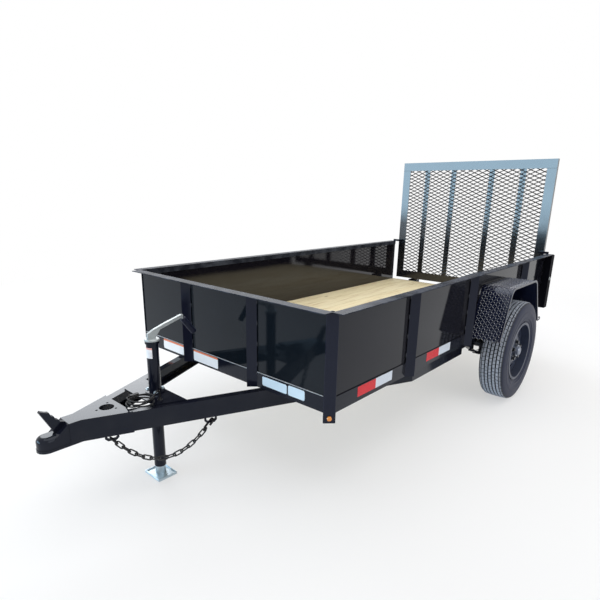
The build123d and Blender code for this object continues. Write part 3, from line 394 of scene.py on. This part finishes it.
FILM = 0.0005
TAPE_TALL = 0.0508
TAPE_HALF = 0.1525
PLATE_CORNER = 0.004
SIDES = ((1, "left"), (-1, "right"))
tape_red = prismatic("tape_red", (0.74, 0.012, 0.026), (0.46, 0.006, 0.014))
tape_white = prismatic("tape_white", (0.72, 0.79, 0.88), (0.50, 0.56, 0.65))
tapes = (
    # number, distance of the front end behind the front rail, bottom edge
    (1, 0.204, 0.4635), (2, 0.882, 0.4650),
)
rail_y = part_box("side_rail_left")[1].y
for side, word in SIDES:
    inner, outer = sorted((side * rail_y, side * (rail_y + FILM)))
    for number, back, bottom in tapes:
        for part, (colour, material) in enumerate((("red", tape_red), ("white", tape_white))):
            x = front_x - back - part * TAPE_HALF
            film(f"tape_{colour}_{word}_{number}", (x - TAPE_HALF, inner, bottom),
                 (x, outer, bottom + TAPE_TALL), material)
plate_blue = printed_film("plate_blue", (0.68, 0.79, 0.87))
plate_banded = printed_film("plate_banded", (0.97, 0.90, 0.88), (0.78, 0.18, 0.07))
plates = (
    # name, right end, bottom, left end, top, finish
    ("plate_near_inner", 0.338, 0.4620, 0.5015, 0.5085, plate_blue),
    ("plate_near_outer", 0.5105, 0.4620, 0.6130, 0.5115, plate_blue),
    ("plate_middle", -0.2200, 0.4525, -0.0055, 0.5155, plate_banded),
    ("plate_far", -0.5205, 0.4560, -0.3145, 0.5165, plate_banded),
)
for name, right, bottom, left, top, material in plates:
    film(name, (front_x, right, bottom), (front_x + FILM, left, top), material, PLATE_CORNER)


# Jack
# A black tube with a bolted collar, a zinc-plated inner leg, a pressed foot and a cast crank with a
# moulded grip. A blank plate is wrapped on the tube under its cap.
def zinc_plate(name, colour, metal=0.9):
    """Bright zinc plating in the colour given, with soft blotches."""
    finish = Finish(name, Metallic=metal)
    blotch = finish.clouds(38, 4)
    finish.set(Base_Color=finish.blend(blotch, colour, tuple(c * 0.62 for c in colour)),
               Roughness=0.26 + 0.26 * finish.clouds(120, 3))
    finish.bump(finish.clouds(260, 2), 0.0006, 0.25)
    return finish.material


def skin(shape, rings, smooth=False):
    """Faces between each ring of corners and the next."""
    for here, there in zip(rings, rings[1:]):
        count = len(here)
        for i in range(count):
            face = shape.faces.new((here[i], here[(i + 1) % count], there[(i + 1) % count], there[i]))
            face.smooth = smooth


def capped(shape, rings, smooth=False):
    """A closed solid over rings of corners, with its faces outward."""
    skin(shape, rings, smooth)
    shape.faces.new(rings[0][::-1])
    shape.faces.new(rings[-1])
    bmesh.ops.recalc_face_normals(shape, faces=shape.faces)


def around(count):
    """Angles of equal steps round a circle."""
    return [math.tau * i / count for i in range(count)]


# The jack's zinc is tinted blue: a painted reflection of the sky.
jack_zinc = zinc_plate("jack_zinc", (0.60, 0.71, 0.78))
crank_zinc = zinc_plate("crank_zinc", (0.50, 0.54, 0.55), 0.35)
grip_plastic = sheath_rubber("grip_plastic", (0.008, 0.010, 0.022))
paint(jack_zinc, "jack_leg", "jack_foot")
paint(crank_zinc, "jack_crank")
paint(grip_plastic, "jack_grip")
TUBE_RADIUS = 0.0285
WRAP_LOW, WRAP_HIGH = 0.622, 0.673
tube_low, tube_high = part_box("jack_tube")
jack_x = (tube_low.x + tube_high.x) / 2
wrap_section = ((TUBE_RADIUS, WRAP_LOW), (TUBE_RADIUS + FILM, WRAP_LOW), (TUBE_RADIUS + FILM, WRAP_HIGH),
                (TUBE_RADIUS, WRAP_HIGH))
wrap = bmesh.new()
wrap_rings = []
for degrees in range(-25, 56, 10):
    angle = math.radians(degrees)
    wrap_rings.append([wrap.verts.new((jack_x + radius * math.cos(angle), radius * math.sin(angle), z))
                       for radius, z in wrap_section])
capped(wrap, wrap_rings)
plate_white = printed_film("plate_white", (0.92, 0.89, 0.90), (0.86, 0.42, 0.38), 0.6645)
plate_jack = placed("plate_jack", mesh_of("plate_jack", wrap), plate_white)
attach(plate_jack, "chassis")
cap_top = tube_high.z
cap_section = (
    # radius, height
    (0.0335, cap_top - 0.010), (0.0355, cap_top - 0.009), (0.0355, cap_top - 0.001),
    (0.0335, cap_top + 0.0005),
)
cap = bmesh.new()
capped(cap, [[cap.verts.new((jack_x + radius * math.cos(a), radius * math.sin(a), z)) for a in around(32)]
             for radius, z in cap_section], True)
jack_cap_plate = placed("jack_cap_plate", mesh_of("jack_cap_plate", cap), crank_zinc)
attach(jack_cap_plate, "chassis")
foot_low, foot_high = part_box("jack_foot")
foot_edge = (
    # in from the foot's edge, above its plate
    (0.0025, -0.001), (0.0, 0.005), (0.001, 0.006), (0.004, 0.006), (0.006, -0.001),
)
foot_rim = bmesh.new()
foot_rings = []
for inset, rise in foot_edge:
    corners = ((foot_low.x + inset, foot_low.y + inset), (foot_high.x - inset, foot_low.y + inset),
               (foot_high.x - inset, foot_high.y - inset), (foot_low.x + inset, foot_high.y - inset))
    foot_rings.append([foot_rim.verts.new((x, y, foot_high.z + rise)) for x, y in corners])
skin(foot_rim, foot_rings + foot_rings[:1])
bmesh.ops.recalc_face_normals(foot_rim, faces=foot_rim.faces)
foot_rim_piece = placed("foot_rim", mesh_of("foot_rim", foot_rim), jack_zinc)
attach(foot_rim_piece, "chassis")


# Bolts
# Plated hexagon heads on round washers: three that hold the jack's collar to its plate, and one on the
# outside of each rear post.
def hex_bolt(across, height):
    """A hexagon head with a chamfered top on a round washer, standing on the plane z = 0."""
    shape = bmesh.new()
    rings = (
        # corners, radius, height
        (12, across * 0.86, 0.0), (12, across * 0.86, height * 0.18), (6, across * 0.577, height * 0.18),
        (6, across * 0.577, height * 0.85), (6, across * 0.47, height),
    )
    made = [[shape.verts.new((radius * math.cos(a), radius * math.sin(a), z)) for a in around(corners)]
            for corners, radius, z in rings]
    for solid in (made[:2], made[2:]):
        skin(shape, solid)
        shape.faces.new(solid[0][::-1])
        shape.faces.new(solid[-1])
    return mesh_of("hex_bolt", shape)


def repeat_tree():
    """Copies of a shape on points, turned by the points' own ways, as one plain mesh."""
    tree = bpy.data.node_groups.new("repeat_on_points", "GeometryNodeTree")
    sockets = {"Points": "NodeSocketGeometry", "Shape": "NodeSocketObject", "Size": "NodeSocketFloat",
               "Finish": "NodeSocketMaterial"}
    for name, kind in sockets.items():
        tree.interface.new_socket(name, in_out="INPUT", socket_type=kind)
    tree.interface.new_socket("Copies", in_out="OUTPUT", socket_type="NodeSocketGeometry")
    given = tree.nodes.new("NodeGroupInput")
    points = tree.nodes.new("GeometryNodeMeshToPoints")
    shape = tree.nodes.new("GeometryNodeObjectInfo")
    ways = []
    for name in ("facing", "lying"):
        way = tree.nodes.new("GeometryNodeInputNamedAttribute")
        way.data_type = "FLOAT_VECTOR"
        way.inputs["Name"].default_value = name
        ways.append(way.outputs["Attribute"])
    turn = tree.nodes.new("FunctionNodeAxesToRotation")
    turn.primary_axis, turn.secondary_axis = "Z", "X"
    copies = tree.nodes.new("GeometryNodeInstanceOnPoints")
    realized = tree.nodes.new("GeometryNodeRealizeInstances")
    finished = tree.nodes.new("GeometryNodeSetMaterial")
    result = tree.nodes.new("NodeGroupOutput")
    links = (
        (given.outputs["Points"], points.inputs["Mesh"]), (given.outputs["Shape"], shape.inputs["Object"]),
        (points.outputs["Points"], copies.inputs["Points"]),
        (shape.outputs["Geometry"], copies.inputs["Instance"]),
        (ways[0], turn.inputs[0]), (ways[1], turn.inputs[1]), (turn.outputs[0], copies.inputs["Rotation"]),
        (given.outputs["Size"], copies.inputs["Scale"]), (copies.outputs[0], realized.inputs[0]),
        (realized.outputs[0], finished.inputs["Geometry"]),
        (given.outputs["Finish"], finished.inputs["Material"]),
        (finished.outputs[0], result.inputs["Copies"]),
    )
    for start, end in links:
        tree.links.new(start, end)
    return tree


repeat_on_points = repeat_tree()


def repeat(name, shape, spots, material, body, size=1.0):
    """One piece made of copies of a shape, each at a spot: its place, the way it faces, the way it lies."""
    pattern = placed(f"{name}_shape", shape)
    mesh = bpy.data.meshes.new(f"{name}_spots")
    mesh.from_pydata([spot[0] for spot in spots], [], [])
    for key, column in (("facing", 1), ("lying", 2)):
        attribute = mesh.attributes.new(key, "FLOAT_VECTOR", "POINT")
        attribute.data.foreach_set("vector", [c for spot in spots for c in spot[column]])
    holder = placed(f"{name}_holder", mesh)
    modifier = holder.modifiers.new("repeat", "NODES")
    modifier.node_group = repeat_on_points
    values = {"Shape": pattern, "Size": size, "Finish": material}
    for socket in repeat_on_points.interface.items_tree:
        if socket.name in values:
            modifier[socket.identifier] = values[socket.name]
    bpy.context.view_layer.update()
    evaluated = holder.evaluated_get(bpy.context.evaluated_depsgraph_get())
    made = bpy.data.meshes.new_from_object(evaluated)
    made.name = name
    piece = placed(name, made)
    for item in (pattern, holder):
        bpy.data.objects.remove(item)
    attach(piece, body)
    return piece


up = Vector((0, 0, 1))
forward = Vector((1, 0, 0))
leftward = Vector((0, 1, 0))
COLLAR_THICK = 0.006
COLLAR_BOLT_RADIUS = 0.038
POST_BOLT_AHEAD = 0.052
POST_BOLT_HEIGHT = 0.70
collar_middle = Vector((jack_x, 0, plate_top + COLLAR_THICK))
collar_spots = []
for degrees in (60, 180, 300):
    way = Vector((math.cos(math.radians(degrees)), math.sin(math.radians(degrees)), 0))
    collar_spots.append((collar_middle + COLLAR_BOLT_RADIUS * way, up, way))
repeat("jack_bolts", hex_bolt(0.0135, 0.008), collar_spots, jack_zinc, "chassis")
rear_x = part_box("rear_sill")[0].x
post_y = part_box("rear_posts")[1].y
pin_spots = [(Vector((rear_x + POST_BOLT_AHEAD, side * post_y, POST_BOLT_HEIGHT)), side * leftward, up)
             for side, word in SIDES]
repeat("gate_pin_heads", hex_bolt(0.017, 0.011), pin_spots, crank_zinc, "chassis")

# Welds and edge highlight
# Short beads that join the stakes' toes to the panels, a hand apart, under the paint, and a thin pale
# strip along the front rail's top edge: a painted highlight where the edge catches the light.
bead_profile = ((-0.013, 0.001), (-0.010, 0.003), (0.0, 0.0036), (0.010, 0.003), (0.013, 0.001))
weld = bmesh.new()
capped(weld, [[weld.verts.new((x, radius * math.cos(a), radius * math.sin(a))) for a in around(6)]
              for x, radius in bead_profile], True)
weld_mesh = mesh_of("weld_bead", weld)
TOE = 0.0345
WELD_SUNK = 0.0025
FRONT_STAKE = 0.264
SIDE_STAKES = (0.679, 1.435, 2.425)
weld_heights = [0.56 + 0.105 * step for step in range(4)]
weld_spots = []
for toe in (TOE, -TOE):
    for z in weld_heights:
        for side, word in SIDES:
            weld_spots.append((Vector((front_x - WELD_SUNK, side * FRONT_STAKE + toe, z)), forward, up))
            for back in SIDE_STAKES:
                place = Vector((front_x - back + toe, side * (rail_y - WELD_SUNK), z))
                weld_spots.append((place, side * leftward, up))
weld_paint = gloss_black("weld_paint", (0.02, 0.021, 0.026), 90, 0.1, 0.5, 0.2)
repeat("stake_welds", weld_mesh, weld_spots, weld_paint, "chassis")
# A pale grey strip: a painted highlight on the front rail's top edge.
edge_highlight_grey = sheath_rubber("edge_highlight_grey", (0.42, 0.42, 0.43))
HIGHLIGHT_END = 0.004
rail_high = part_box("front_rail")[1]
film("rail_seam", (rail_high.x - 0.0045, -rail_high.y + HIGHLIGHT_END, rail_high.z),
     (rail_high.x - 0.0005, rail_high.y - HIGHLIGHT_END, rail_high.z + 0.0025), edge_highlight_grey)

# Safety chain
# Welded links of round bar, painted black with the frame. It hangs in one sag from the front loop to a slip
# hook on the rear loop, each link turned a quarter from the last.
LINK_COUNT = 14
LINK_WIRE = 0.007
LINK_INSIDE_WIDE = 0.012
LINK_SLACK = 0.0038
FIRST_LINK, HOOK_END = 0.0085, 0.067
FRONT_LOOP, REAR_LOOP = 0.649, 0.245
LOOP_ROD = 0.0045
CHAIN_INSET = 0.022
CHAIN_SAG = 0.142
SAG_STEPS = 600
TONGUE_ANGLE = math.radians(23.3)
TONGUE_APEX = 0.848
tongue_way = Vector((-math.cos(TONGUE_ANGLE), math.sin(TONGUE_ANGLE), 0))
tongue_across = tongue_way.cross(up)
loop_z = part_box("chain_loops")[0].z + LOOP_ROD
chain_in = CHAIN_INSET / math.cos(TONGUE_ANGLE)
chain_start, chain_end = [
    Vector((front_x + loop, (TONGUE_APEX - loop) * math.tan(TONGUE_ANGLE) - chain_in, loop_z))
    for loop in (FRONT_LOOP, REAR_LOOP)]
sag_point = (chain_start + chain_end) / 2 - 2 * CHAIN_SAG * up
sag = [(1 - t) ** 2 * chain_start + 2 * t * (1 - t) * sag_point + t * t * chain_end
       for t in [i / SAG_STEPS for i in range(SAG_STEPS + 1)]]
run = [0.0]
for here, there in zip(sag, sag[1:]):
    run.append(run[-1] + (there - here).length)
link_pitch = (run[-1] - FIRST_LINK - HOOK_END) / (LINK_COUNT - 1)
link_spots = []
for index in range(LINK_COUNT):
    reach = FIRST_LINK + index * link_pitch
    at = next(i for i, length in enumerate(run) if length >= reach)
    way = (sag[at + 1] - sag[at - 1]).normalized()
    facing = tongue_across if index % 2 else way.cross(tongue_across)
    link_spots.append((sag[at], facing, way))
straight = (link_pitch + LINK_SLACK) / 2 - LINK_INSIDE_WIDE / 2
bend = LINK_INSIDE_WIDE / 2 + LINK_WIRE / 2
link_shape = bmesh.new()
link_rings = []
for end in (1, -1):
    for degrees in range(-90, 91, 30):
        outward = end * Vector((math.cos(math.radians(degrees)), math.sin(math.radians(degrees)), 0))
        centre = end * straight * forward + bend * outward
        wire = [LINK_WIRE / 2 * (math.cos(a) * outward + math.sin(a) * up) for a in around(8)]
        link_rings.append([link_shape.verts.new(centre + corner) for corner in wire])
skin(link_shape, link_rings + link_rings[:1], True)
bmesh.ops.recalc_face_normals(link_shape, faces=link_shape.faces)
chain_paint = gloss_black("chain_paint", (0.014, 0.013, 0.013), 60, 0.3)
chain = repeat("chain_links", mesh_of("chain_link", link_shape), link_spots, chain_paint, "chassis")
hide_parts("safety_chain")
paint(chain_paint, "chain_hook")


# Tyres
# Radial trailer tyres in black rubber: ribs cut into blocks by sipes, leaning shoulder blocks, and
# sidewalls with plain raised rings. The blocks are moulded on a round casing. Their tops are painted light
# grey as painted light, the casing in the grooves is painted darker as painted shade, and the rubber's blue
# cast is a painted reflection of the sky.
def tread_rubber(name, clean, lighter):
    """Rubber, greyer where dust sits in it."""
    finish = Finish(name, Specular_IOR_Level=0.22)
    dirt = finish.clouds(26, 4)
    finish.set(Base_Color=finish.blend(dirt.ramp(0.35, 0.8), clean, lighter), Roughness=0.42 + 0.2 * dirt)
    finish.bump(finish.clouds(700, 2), 0.0005, 0.35)
    return finish.material


def tread_block(wide, long, deep, slant):
    """A rib's block, slightly skewed, its top edges eased."""
    shape = bmesh.new()
    outline = ((-wide / 2, -long / 2), (wide / 2, -long / 2 + slant), (wide / 2, long / 2 + slant),
               (-wide / 2, long / 2))
    levels = (
        # share of the outline, height
        (1.0, -deep), (1.0, -0.0012), (0.9, 0.0),
    )
    rings = [[shape.verts.new((x * share, y * share, z)) for x, y in outline] for share, z in levels]
    skin(shape, rings)
    shape.faces.new(rings[0][::-1])
    shape.faces.new(rings[-1])
    return mesh_of("tread_block", shape)


TREAD_DEPTH = 0.0075
BLOCK_ROOT = 0.002
SIPE = 0.0040
GROOVE_FROM = 0.333
CASING_STEPS = 120
tyre_low, tyre_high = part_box("tyre_left")
wheel_x, wheel_y, wheel_z = (tyre_low + tyre_high) / 2
tyre_radius = (tyre_high.z - tyre_low.z) / 2
# The sidewall's blue cast is a painted reflection of the sky.
wall_rubber = tread_rubber("wall_rubber", (0.013, 0.017, 0.038), (0.024, 0.030, 0.060))
# The casing in the grooves is painted near black: painted shade in the recesses.
shaded_groove_rubber = tread_rubber("shaded_groove_rubber", (0.004, 0.005, 0.008), (0.008, 0.009, 0.013))
# The block tops are painted light blue-grey: painted sunlight and sky reflection on the tread, with a little
# dust.
rib_rubber = Finish("rib_rubber", Specular_IOR_Level=0.35)
from_axle = rib_rubber.vector("SUBTRACT", rib_rubber.place, (wheel_x, 0, wheel_z))
from_axle = rib_rubber.length(rib_rubber.vector("MULTIPLY", from_axle, (1, 0, 1)))
painted_lit_tops = from_axle.ramp(tyre_radius - 0.0085, tyre_radius - 0.0015)
grit = rib_rubber.clouds(60, 4)
lit_tops_grey = rib_rubber.blend(grit.ramp(0.35, 0.75), (0.36, 0.40, 0.48), (0.50, 0.545, 0.62))
rib_rubber.set(Base_Color=rib_rubber.blend(painted_lit_tops, (0.012, 0.014, 0.02), lit_tops_grey), Roughness=0.5 + 0.2 * grit)
rib_rubber.bump(rib_rubber.clouds(700, 2), 0.0005, 0.35)
casing_half = (
    # out along the axle, radius, for half of the section from the bead to the middle
    (0.0665, 0.1905), (0.0670, 0.2062), (0.0742, 0.2125), (0.0772, 0.2160), (0.0775, 0.2195),
    (0.0766, 0.2215), (0.0790, 0.2265), (0.0822, 0.2290), (0.0832, 0.2330), (0.0828, 0.2370),
    (0.0818, 0.2390), (0.0838, 0.2480), (0.0852, 0.2600), (0.0858, 0.2720), (0.0856, 0.2780),
    (0.0850, 0.2790), (0.0848, 0.2880), (0.0832, 0.3040), (0.0802, 0.3185), (0.0762, 0.3285),
    (0.0705, 0.3345), (0.0590, tyre_radius - TREAD_DEPTH), (0.0, tyre_radius - TREAD_DEPTH + 0.0005),
)
casing_section = casing_half + tuple((-out, radius) for out, radius in reversed(casing_half[:-1]))
ribs = (
    # out along the axle, width, blocks round the tyre, skew, drop below the crown, lean outwards in degrees
    (-0.0686, 0.0160, 60, 0.0, 0.0062, -32),
    (-0.0470, 0.0150, 72, 0.004, 0.0014, -5),
    (-0.0236, 0.0150, 84, -0.004, 0.0004, 0),
    (0.0, 0.0150, 84, 0.004, 0.0002, 0),
    (0.0236, 0.0150, 84, 0.004, 0.0004, 0),
    (0.0470, 0.0150, 72, -0.004, 0.0014, 5),
    (0.0686, 0.0160, 60, 0.0, 0.0062, 32),
)
for side, word in SIDES:
    centre = Vector((wheel_x, side * wheel_y, wheel_z))
    casing_shape = bmesh.new()
    casing_rings = []
    for angle in around(CASING_STEPS):
        across = [Vector((radius * math.sin(angle), out, radius * math.cos(angle)))
                  for out, radius in casing_section]
        casing_rings.append([casing_shape.verts.new(centre + corner) for corner in across])
    skin(casing_shape, casing_rings + casing_rings[:1], True)
    bmesh.ops.recalc_face_normals(casing_shape, faces=casing_shape.faces)
    casing_mesh = mesh_of(f"tyre_casing_{word}", casing_shape)
    casing = placed(f"tyre_casing_{word}", casing_mesh, wall_rubber, shaded_groove_rubber)
    for face in casing.data.polygons:
        if math.hypot(face.center.x - wheel_x, face.center.z - wheel_z) > GROOVE_FROM:
            face.material_index = 1
    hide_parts(f"tyre_{word}")
    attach(casing, f"wheel_{word}")
    for number, (out, wide, count, skew, drop, lean) in enumerate(ribs, 1):
        crown = tyre_radius - drop
        block = tread_block(wide, math.tau * crown / count - SIPE, TREAD_DEPTH + BLOCK_ROOT, skew)
        tilt = math.tan(math.radians(lean))
        rib_spots = []
        for step in range(count):
            angle = math.tau * (step + 0.5 * (number % 2)) / count
            radial = Vector((math.sin(angle), 0, math.cos(angle)))
            facing = (radial + tilt * leftward).normalized()
            rib_spots.append((centre + crown * radial + out * leftward, facing, leftward - tilt * radial))
        rib = repeat(f"tread_rib_{word}_{number}", block, rib_spots, rib_rubber.material, f"wheel_{word}")

# Wheels
# Pressed steel rims with vent holes under black paint, each held by five dark nuts round a plated hub
# with its grease cap.
NUTS = 5
NUT_CIRCLE = 0.061
DISC_FACE = 0.042
# The rims' blue-grey is a painted reflection of the sky on the black paint.
rim_paint = gloss_black("rim_paint", (0.026, 0.034, 0.064), 40, 0.2, 0.5, 0.3)
hub_zinc = zinc_plate("hub_zinc", (0.28, 0.31, 0.38))
nut_paint = gloss_black("nut_paint", (0.012, 0.013, 0.018), 60, 0.2, 0.6, 0.2)
paint(rim_paint, "rim_left", "rim_right")
paint(hub_zinc, "hub_left", "hub_right")
for side, word in SIDES:
    disc_middle = Vector((wheel_x, side * (wheel_y + DISC_FACE), wheel_z))
    nut_ways = [Vector((math.sin(a), 0, math.cos(a))) for a in around(NUTS)]
    nut_spots = [(disc_middle + NUT_CIRCLE * way, side * leftward, way) for way in nut_ways]
    repeat(f"lug_nuts_{word}", hex_bolt(0.021, 0.019), nut_spots, nut_paint, f"wheel_{word}")


# Fenders
# Folded from tread plate and welded to the side: rows of raised lozenges, each turned across its
# neighbours, under gloss black. The lozenges are painted lighter than the sheet as a painted glint, and the
# sheet's blue cast is a painted reflection of the sky.
def bent_run(corners, radius, step):
    """Places along a line with rounded corners, a step apart, with the way along at each."""
    runs = [(b - a).normalized() for a, b in zip(corners, corners[1:])]
    cuts = [0.0] + [radius * math.tan(a.angle(b) / 2) for a, b in zip(runs, runs[1:])] + [0.0]
    places = []
    for index, way in enumerate(runs):
        length = (corners[index + 1] - corners[index]).length
        along = cuts[index]
        while along < length - cuts[index + 1]:
            places.append((corners[index] + along * way, way))
            along += step
        if index + 1 < len(runs):
            turn = way.angle(runs[index + 1])
            inward = radius * way.cross(leftward)
            middle = corners[index + 1] - cuts[index + 1] * way + inward
            count = max(2, round(radius * turn / step))
            for i in range(count):
                spin = Matrix.Rotation(-turn * (i + 0.5) / count, 3, leftward)
                places.append((middle - spin @ inward, spin @ way))
    return places


FENDER_BACK = 1.842
FENDER_TOP, FENDER_BOTTOM, FENDER_BEND, SHEET = 0.812, 0.487, 0.070, 0.003
FENDER_INNER = 0.772
LOZENGE_STEP = 0.0165
LOZENGE_COLUMNS = 11
# The sheet's blue cast is a painted reflection; the lighter lozenges are a painted glint.
fender_paint = gloss_black("fender_paint", (0.006, 0.009, 0.030), 22, 0.08, 0.5, 0.12)
lozenge_glint_paint = gloss_black("lozenge_glint_paint", (0.050, 0.060, 0.092), 60, 0.1, 1.0, 0.12, UNTINTED)
paint(fender_paint, "fender_left", "fender_right")
fender_outline = (
    # ahead of the fender's middle, height
    (0.366, FENDER_BOTTOM), (0.2425, FENDER_TOP), (-0.2425, FENDER_TOP), (-0.418, FENDER_BOTTOM),
)
fender_corners = [Vector((front_x - FENDER_BACK + x, 0, z)) for x, z in fender_outline]
lozenge = bmesh.new()
lozenge_corners = [lozenge.verts.new(c) for c in (
    # the foot's six corners, then the ridge's two ends
    (0.0105, 0, 0), (0.0042, 0.0029, 0), (-0.0042, 0.0029, 0), (-0.0105, 0, 0), (-0.0042, -0.0029, 0),
    (0.0042, -0.0029, 0), (0.006, 0, 0.0020), (-0.006, 0, 0.0020))]
for numbers in ((0, 1, 6), (1, 2, 7, 6), (2, 3, 7), (3, 4, 7), (4, 5, 6, 7), (5, 0, 6), (5, 4, 3, 2, 1, 0)):
    lozenge.faces.new([lozenge_corners[i] for i in numbers])
lozenge_mesh = mesh_of("lozenge", lozenge)
fender_run = bent_run(fender_corners, FENDER_BEND, LOZENGE_STEP)
for side, word in SIDES:
    lozenge_spots = []
    for row, (place, way) in enumerate(fender_run):
        out = leftward.cross(way)
        for column in range(LOZENGE_COLUMNS):
            y = side * (FENDER_INNER + LOZENGE_STEP * (column + 0.5))
            lean = 1 if (row + column) % 2 else -1
            lying = (way + lean * leftward).normalized()
            lozenge_spots.append((place + y * leftward + SHEET / 2 * out, out, lying))
    repeat(f"fender_lozenges_{word}", lozenge_mesh, lozenge_spots, lozenge_glint_paint, "chassis")

# Ramp gate
# An angle frame with four uprights, and a sheet of expanded mesh welded between them and the frame's
# face, all gloss black. A row of small beads marks each corner joint.
MESH_LONG, MESH_SHORT = 0.0762, 0.0338
STRAND_WIDE, STRAND_THICK = 0.0070, 0.0036
STRAND_LAP = 0.004
STRAND_TWIST = 0.2
MESH_EDGE = 0.012
MEMBER = 0.076
gate_paint = gloss_black("gate_paint", (0.006, 0.007, 0.011), 9, 0.04, 0.75, 0.11, UNTINTED)
mesh_paint = gloss_black("mesh_paint", (0.014, 0.0135, 0.015), 40, 0.15, 0.25)
paint(gate_paint, "gate_frame", "gate_bars", "gate_hinges")
strand = bmesh.new()
bmesh.ops.create_cube(strand, size=1)
strand_size = Vector((math.hypot(MESH_LONG, MESH_SHORT) / 2 + STRAND_LAP, STRAND_WIDE, STRAND_THICK))
for vertex in strand.verts:
    vertex.co = vertex.co * strand_size
mesh_low, mesh_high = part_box("gate_mesh")
mesh_x = (mesh_low.x + mesh_high.x) / 2
mesh_z = (mesh_low.z + mesh_high.z) / 2
columns = int((mesh_high.y - mesh_low.y - 2 * MESH_EDGE) / (MESH_LONG / 2))
rows = int((mesh_high.z - mesh_low.z - 2 * MESH_EDGE) / (MESH_SHORT / 2))
strand_spots = []
for column in range(columns):
    for row in range(rows):
        y = (column + 0.5 - columns / 2) * MESH_LONG / 2
        z = mesh_z + (row + 0.5 - rows / 2) * MESH_SHORT / 2
        rise = 1 if (column + row) % 2 else -1
        lying = Vector((0, MESH_LONG, rise * MESH_SHORT)).normalized()
        facing = (forward + STRAND_TWIST * rise * up).normalized()
        strand_spots.append((Vector((mesh_x, y, z)), facing, lying))
gate_mesh = repeat("expanded_mesh", mesh_of("strand", strand), strand_spots, mesh_paint, "gate")
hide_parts("gate_mesh")
SEAM_BEADS = 5
SEAM_STEP = 0.0150
SEAM_SUNK = 0.001
SEAM_SIZE = 0.55
gate_low, gate_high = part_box("gate_frame")
seam_spots = []
for z in (gate_high.z - MEMBER, gate_low.z + MEMBER):
    for side, word in SIDES:
        for step in range(SEAM_BEADS):
            y = side * (gate_high.y - SEAM_STEP * (step + 0.5))
            seam_spots.append((Vector((gate_high.x - SEAM_SUNK, y, z)), forward, leftward))
repeat("gate_seams", weld_mesh, seam_spots, gate_paint, "gate", SEAM_SIZE)


# Lamps
# Moulded plastic lenses fixed to the posts: round amber markers low on the front corner posts, tall red
# lamps on the rear posts.
def lens(name, colour, deep):
    """Clear coloured plastic over a ribbed reflector."""
    finish = Finish(name, Specular_IOR_Level=0.6, Coat_Weight=0.4)
    rib = finish.node("ShaderNodeTexWave", {"bands_direction": "Z"}, {"Vector": finish.place, "Scale": 90})
    rib = Shade(finish, rib.outputs["Fac"])
    finish.set(Base_Color=finish.blend(rib, deep, colour), Roughness=0.12 + 0.1 * rib)
    finish.bump(rib, 0.0005, 0.3)
    return finish.material


paint(lens("lens_amber", (0.95, 0.36, 0.03), (0.6, 0.15, 0.01)), "marker_lamps")
paint(lens("lens_red", (0.6, 0.02, 0.015), (0.3, 0.008, 0.008)), "tail_lamps")


# Floor and light
# A pale floor that runs out to a white sky, a wide soft light overhead, a long cool panel ahead on the
# right that the gate mirrors, a high panel behind on the right, and a weak fill on the left.
class Sky(Finish):
    """The light all round: a world and its nodes."""

    def __init__(self, name):
        self.world = bpy.data.worlds.new(name)
        self.world.use_nodes = True
        self.tree = self.world.node_tree
        self.surface = self.tree.nodes["Background"]


FLOOR_REACH = 60
NEAR_FLOOR, FAR_FLOOR = 2.6, 6.0
floor_corners = [(x * FLOOR_REACH, y * FLOOR_REACH, 0) for x, y in ((-1, -1), (1, -1), (1, 1), (-1, 1))]
floor_mesh = bpy.data.meshes.new("floor")
floor_mesh.from_pydata(floor_corners, [], [(0, 1, 2, 3)])
pale = Finish("pale_floor", Base_Color=(0.86, 0.86, 0.87, 1), Roughness=0.9)
ray = pale.node("ShaderNodeLightPath").outputs
seen = Shade(pale, ray["Is Camera Ray"]) + ray["Is Glossy Ray"] + ray["Is Transmission Ray"]
whiter = 0.5 + 0.5 * pale.length(pale.place).ramp(NEAR_FLOOR, FAR_FLOOR)
glow = pale.node("ShaderNodeEmission", None, {"Color": (1, 1, 1, 1), "Strength": 1.0})
shown = pale.node("ShaderNodeMixShader", None,
                  {0: seen * whiter, 1: pale.surface.outputs[0], 2: glow.outputs[0]})
pale.feed(pale.tree.nodes["Material Output"].inputs["Surface"], shown.outputs[0])
placed("floor", floor_mesh, pale.material)
studio = Sky("studio")
ray = studio.node("ShaderNodeLightPath").outputs
seen = Shade(studio, ray["Is Camera Ray"]).either(ray["Is Glossy Ray"]).either(ray["Is Transmission Ray"])
studio.set(Color=(1, 1, 1, 1), Strength=0.4 + 0.6 * seen)
bpy.context.scene.world = studio.world
lights = (
    # name, place, aim, width, height, slant in degrees, watts, colour
    ("overhead", (0.0, 0.5, 6.0), (-0.4, 0.0, 0.4), 7.0, 7.0, 0, 290, (1, 0.98, 0.95)),
    ("cool_panel", (12.1, -6.1, 2.25), (-1.9, 0.0, 1.4), 10.6, 3.6, -4, 980, (0.50, 0.78, 1.0)),
    ("back_panel", (-3.4, -6.6, 5.1), (1.4, 0.0, 0.45), 9.0, 4.8, 0, 540, (0.94, 0.97, 1.0)),
    ("side_fill", (0.0, 7.0, 3.2), (-0.4, 0.0, 0.6), 5.0, 3.0, 0, 90, (1, 1, 1)),
)
for name, place, aim, width, height, slant, watts, colour in lights:
    lamp = bpy.data.lights.new(name, "AREA")
    lamp.shape = "RECTANGLE"
    lamp.size, lamp.size_y = width, height
    lamp.energy = watts
    lamp.color = colour
    item = placed(name, lamp)
    item.location = place
    item.visible_camera = False
    aimed = (Vector(aim) - Vector(place)).to_track_quat("-Z", "Y").to_matrix()
    item.rotation_euler = (aimed @ Matrix.Rotation(math.radians(slant), 3, "Z")).to_euler()
bpy.context.scene.view_settings.view_transform = "Standard"
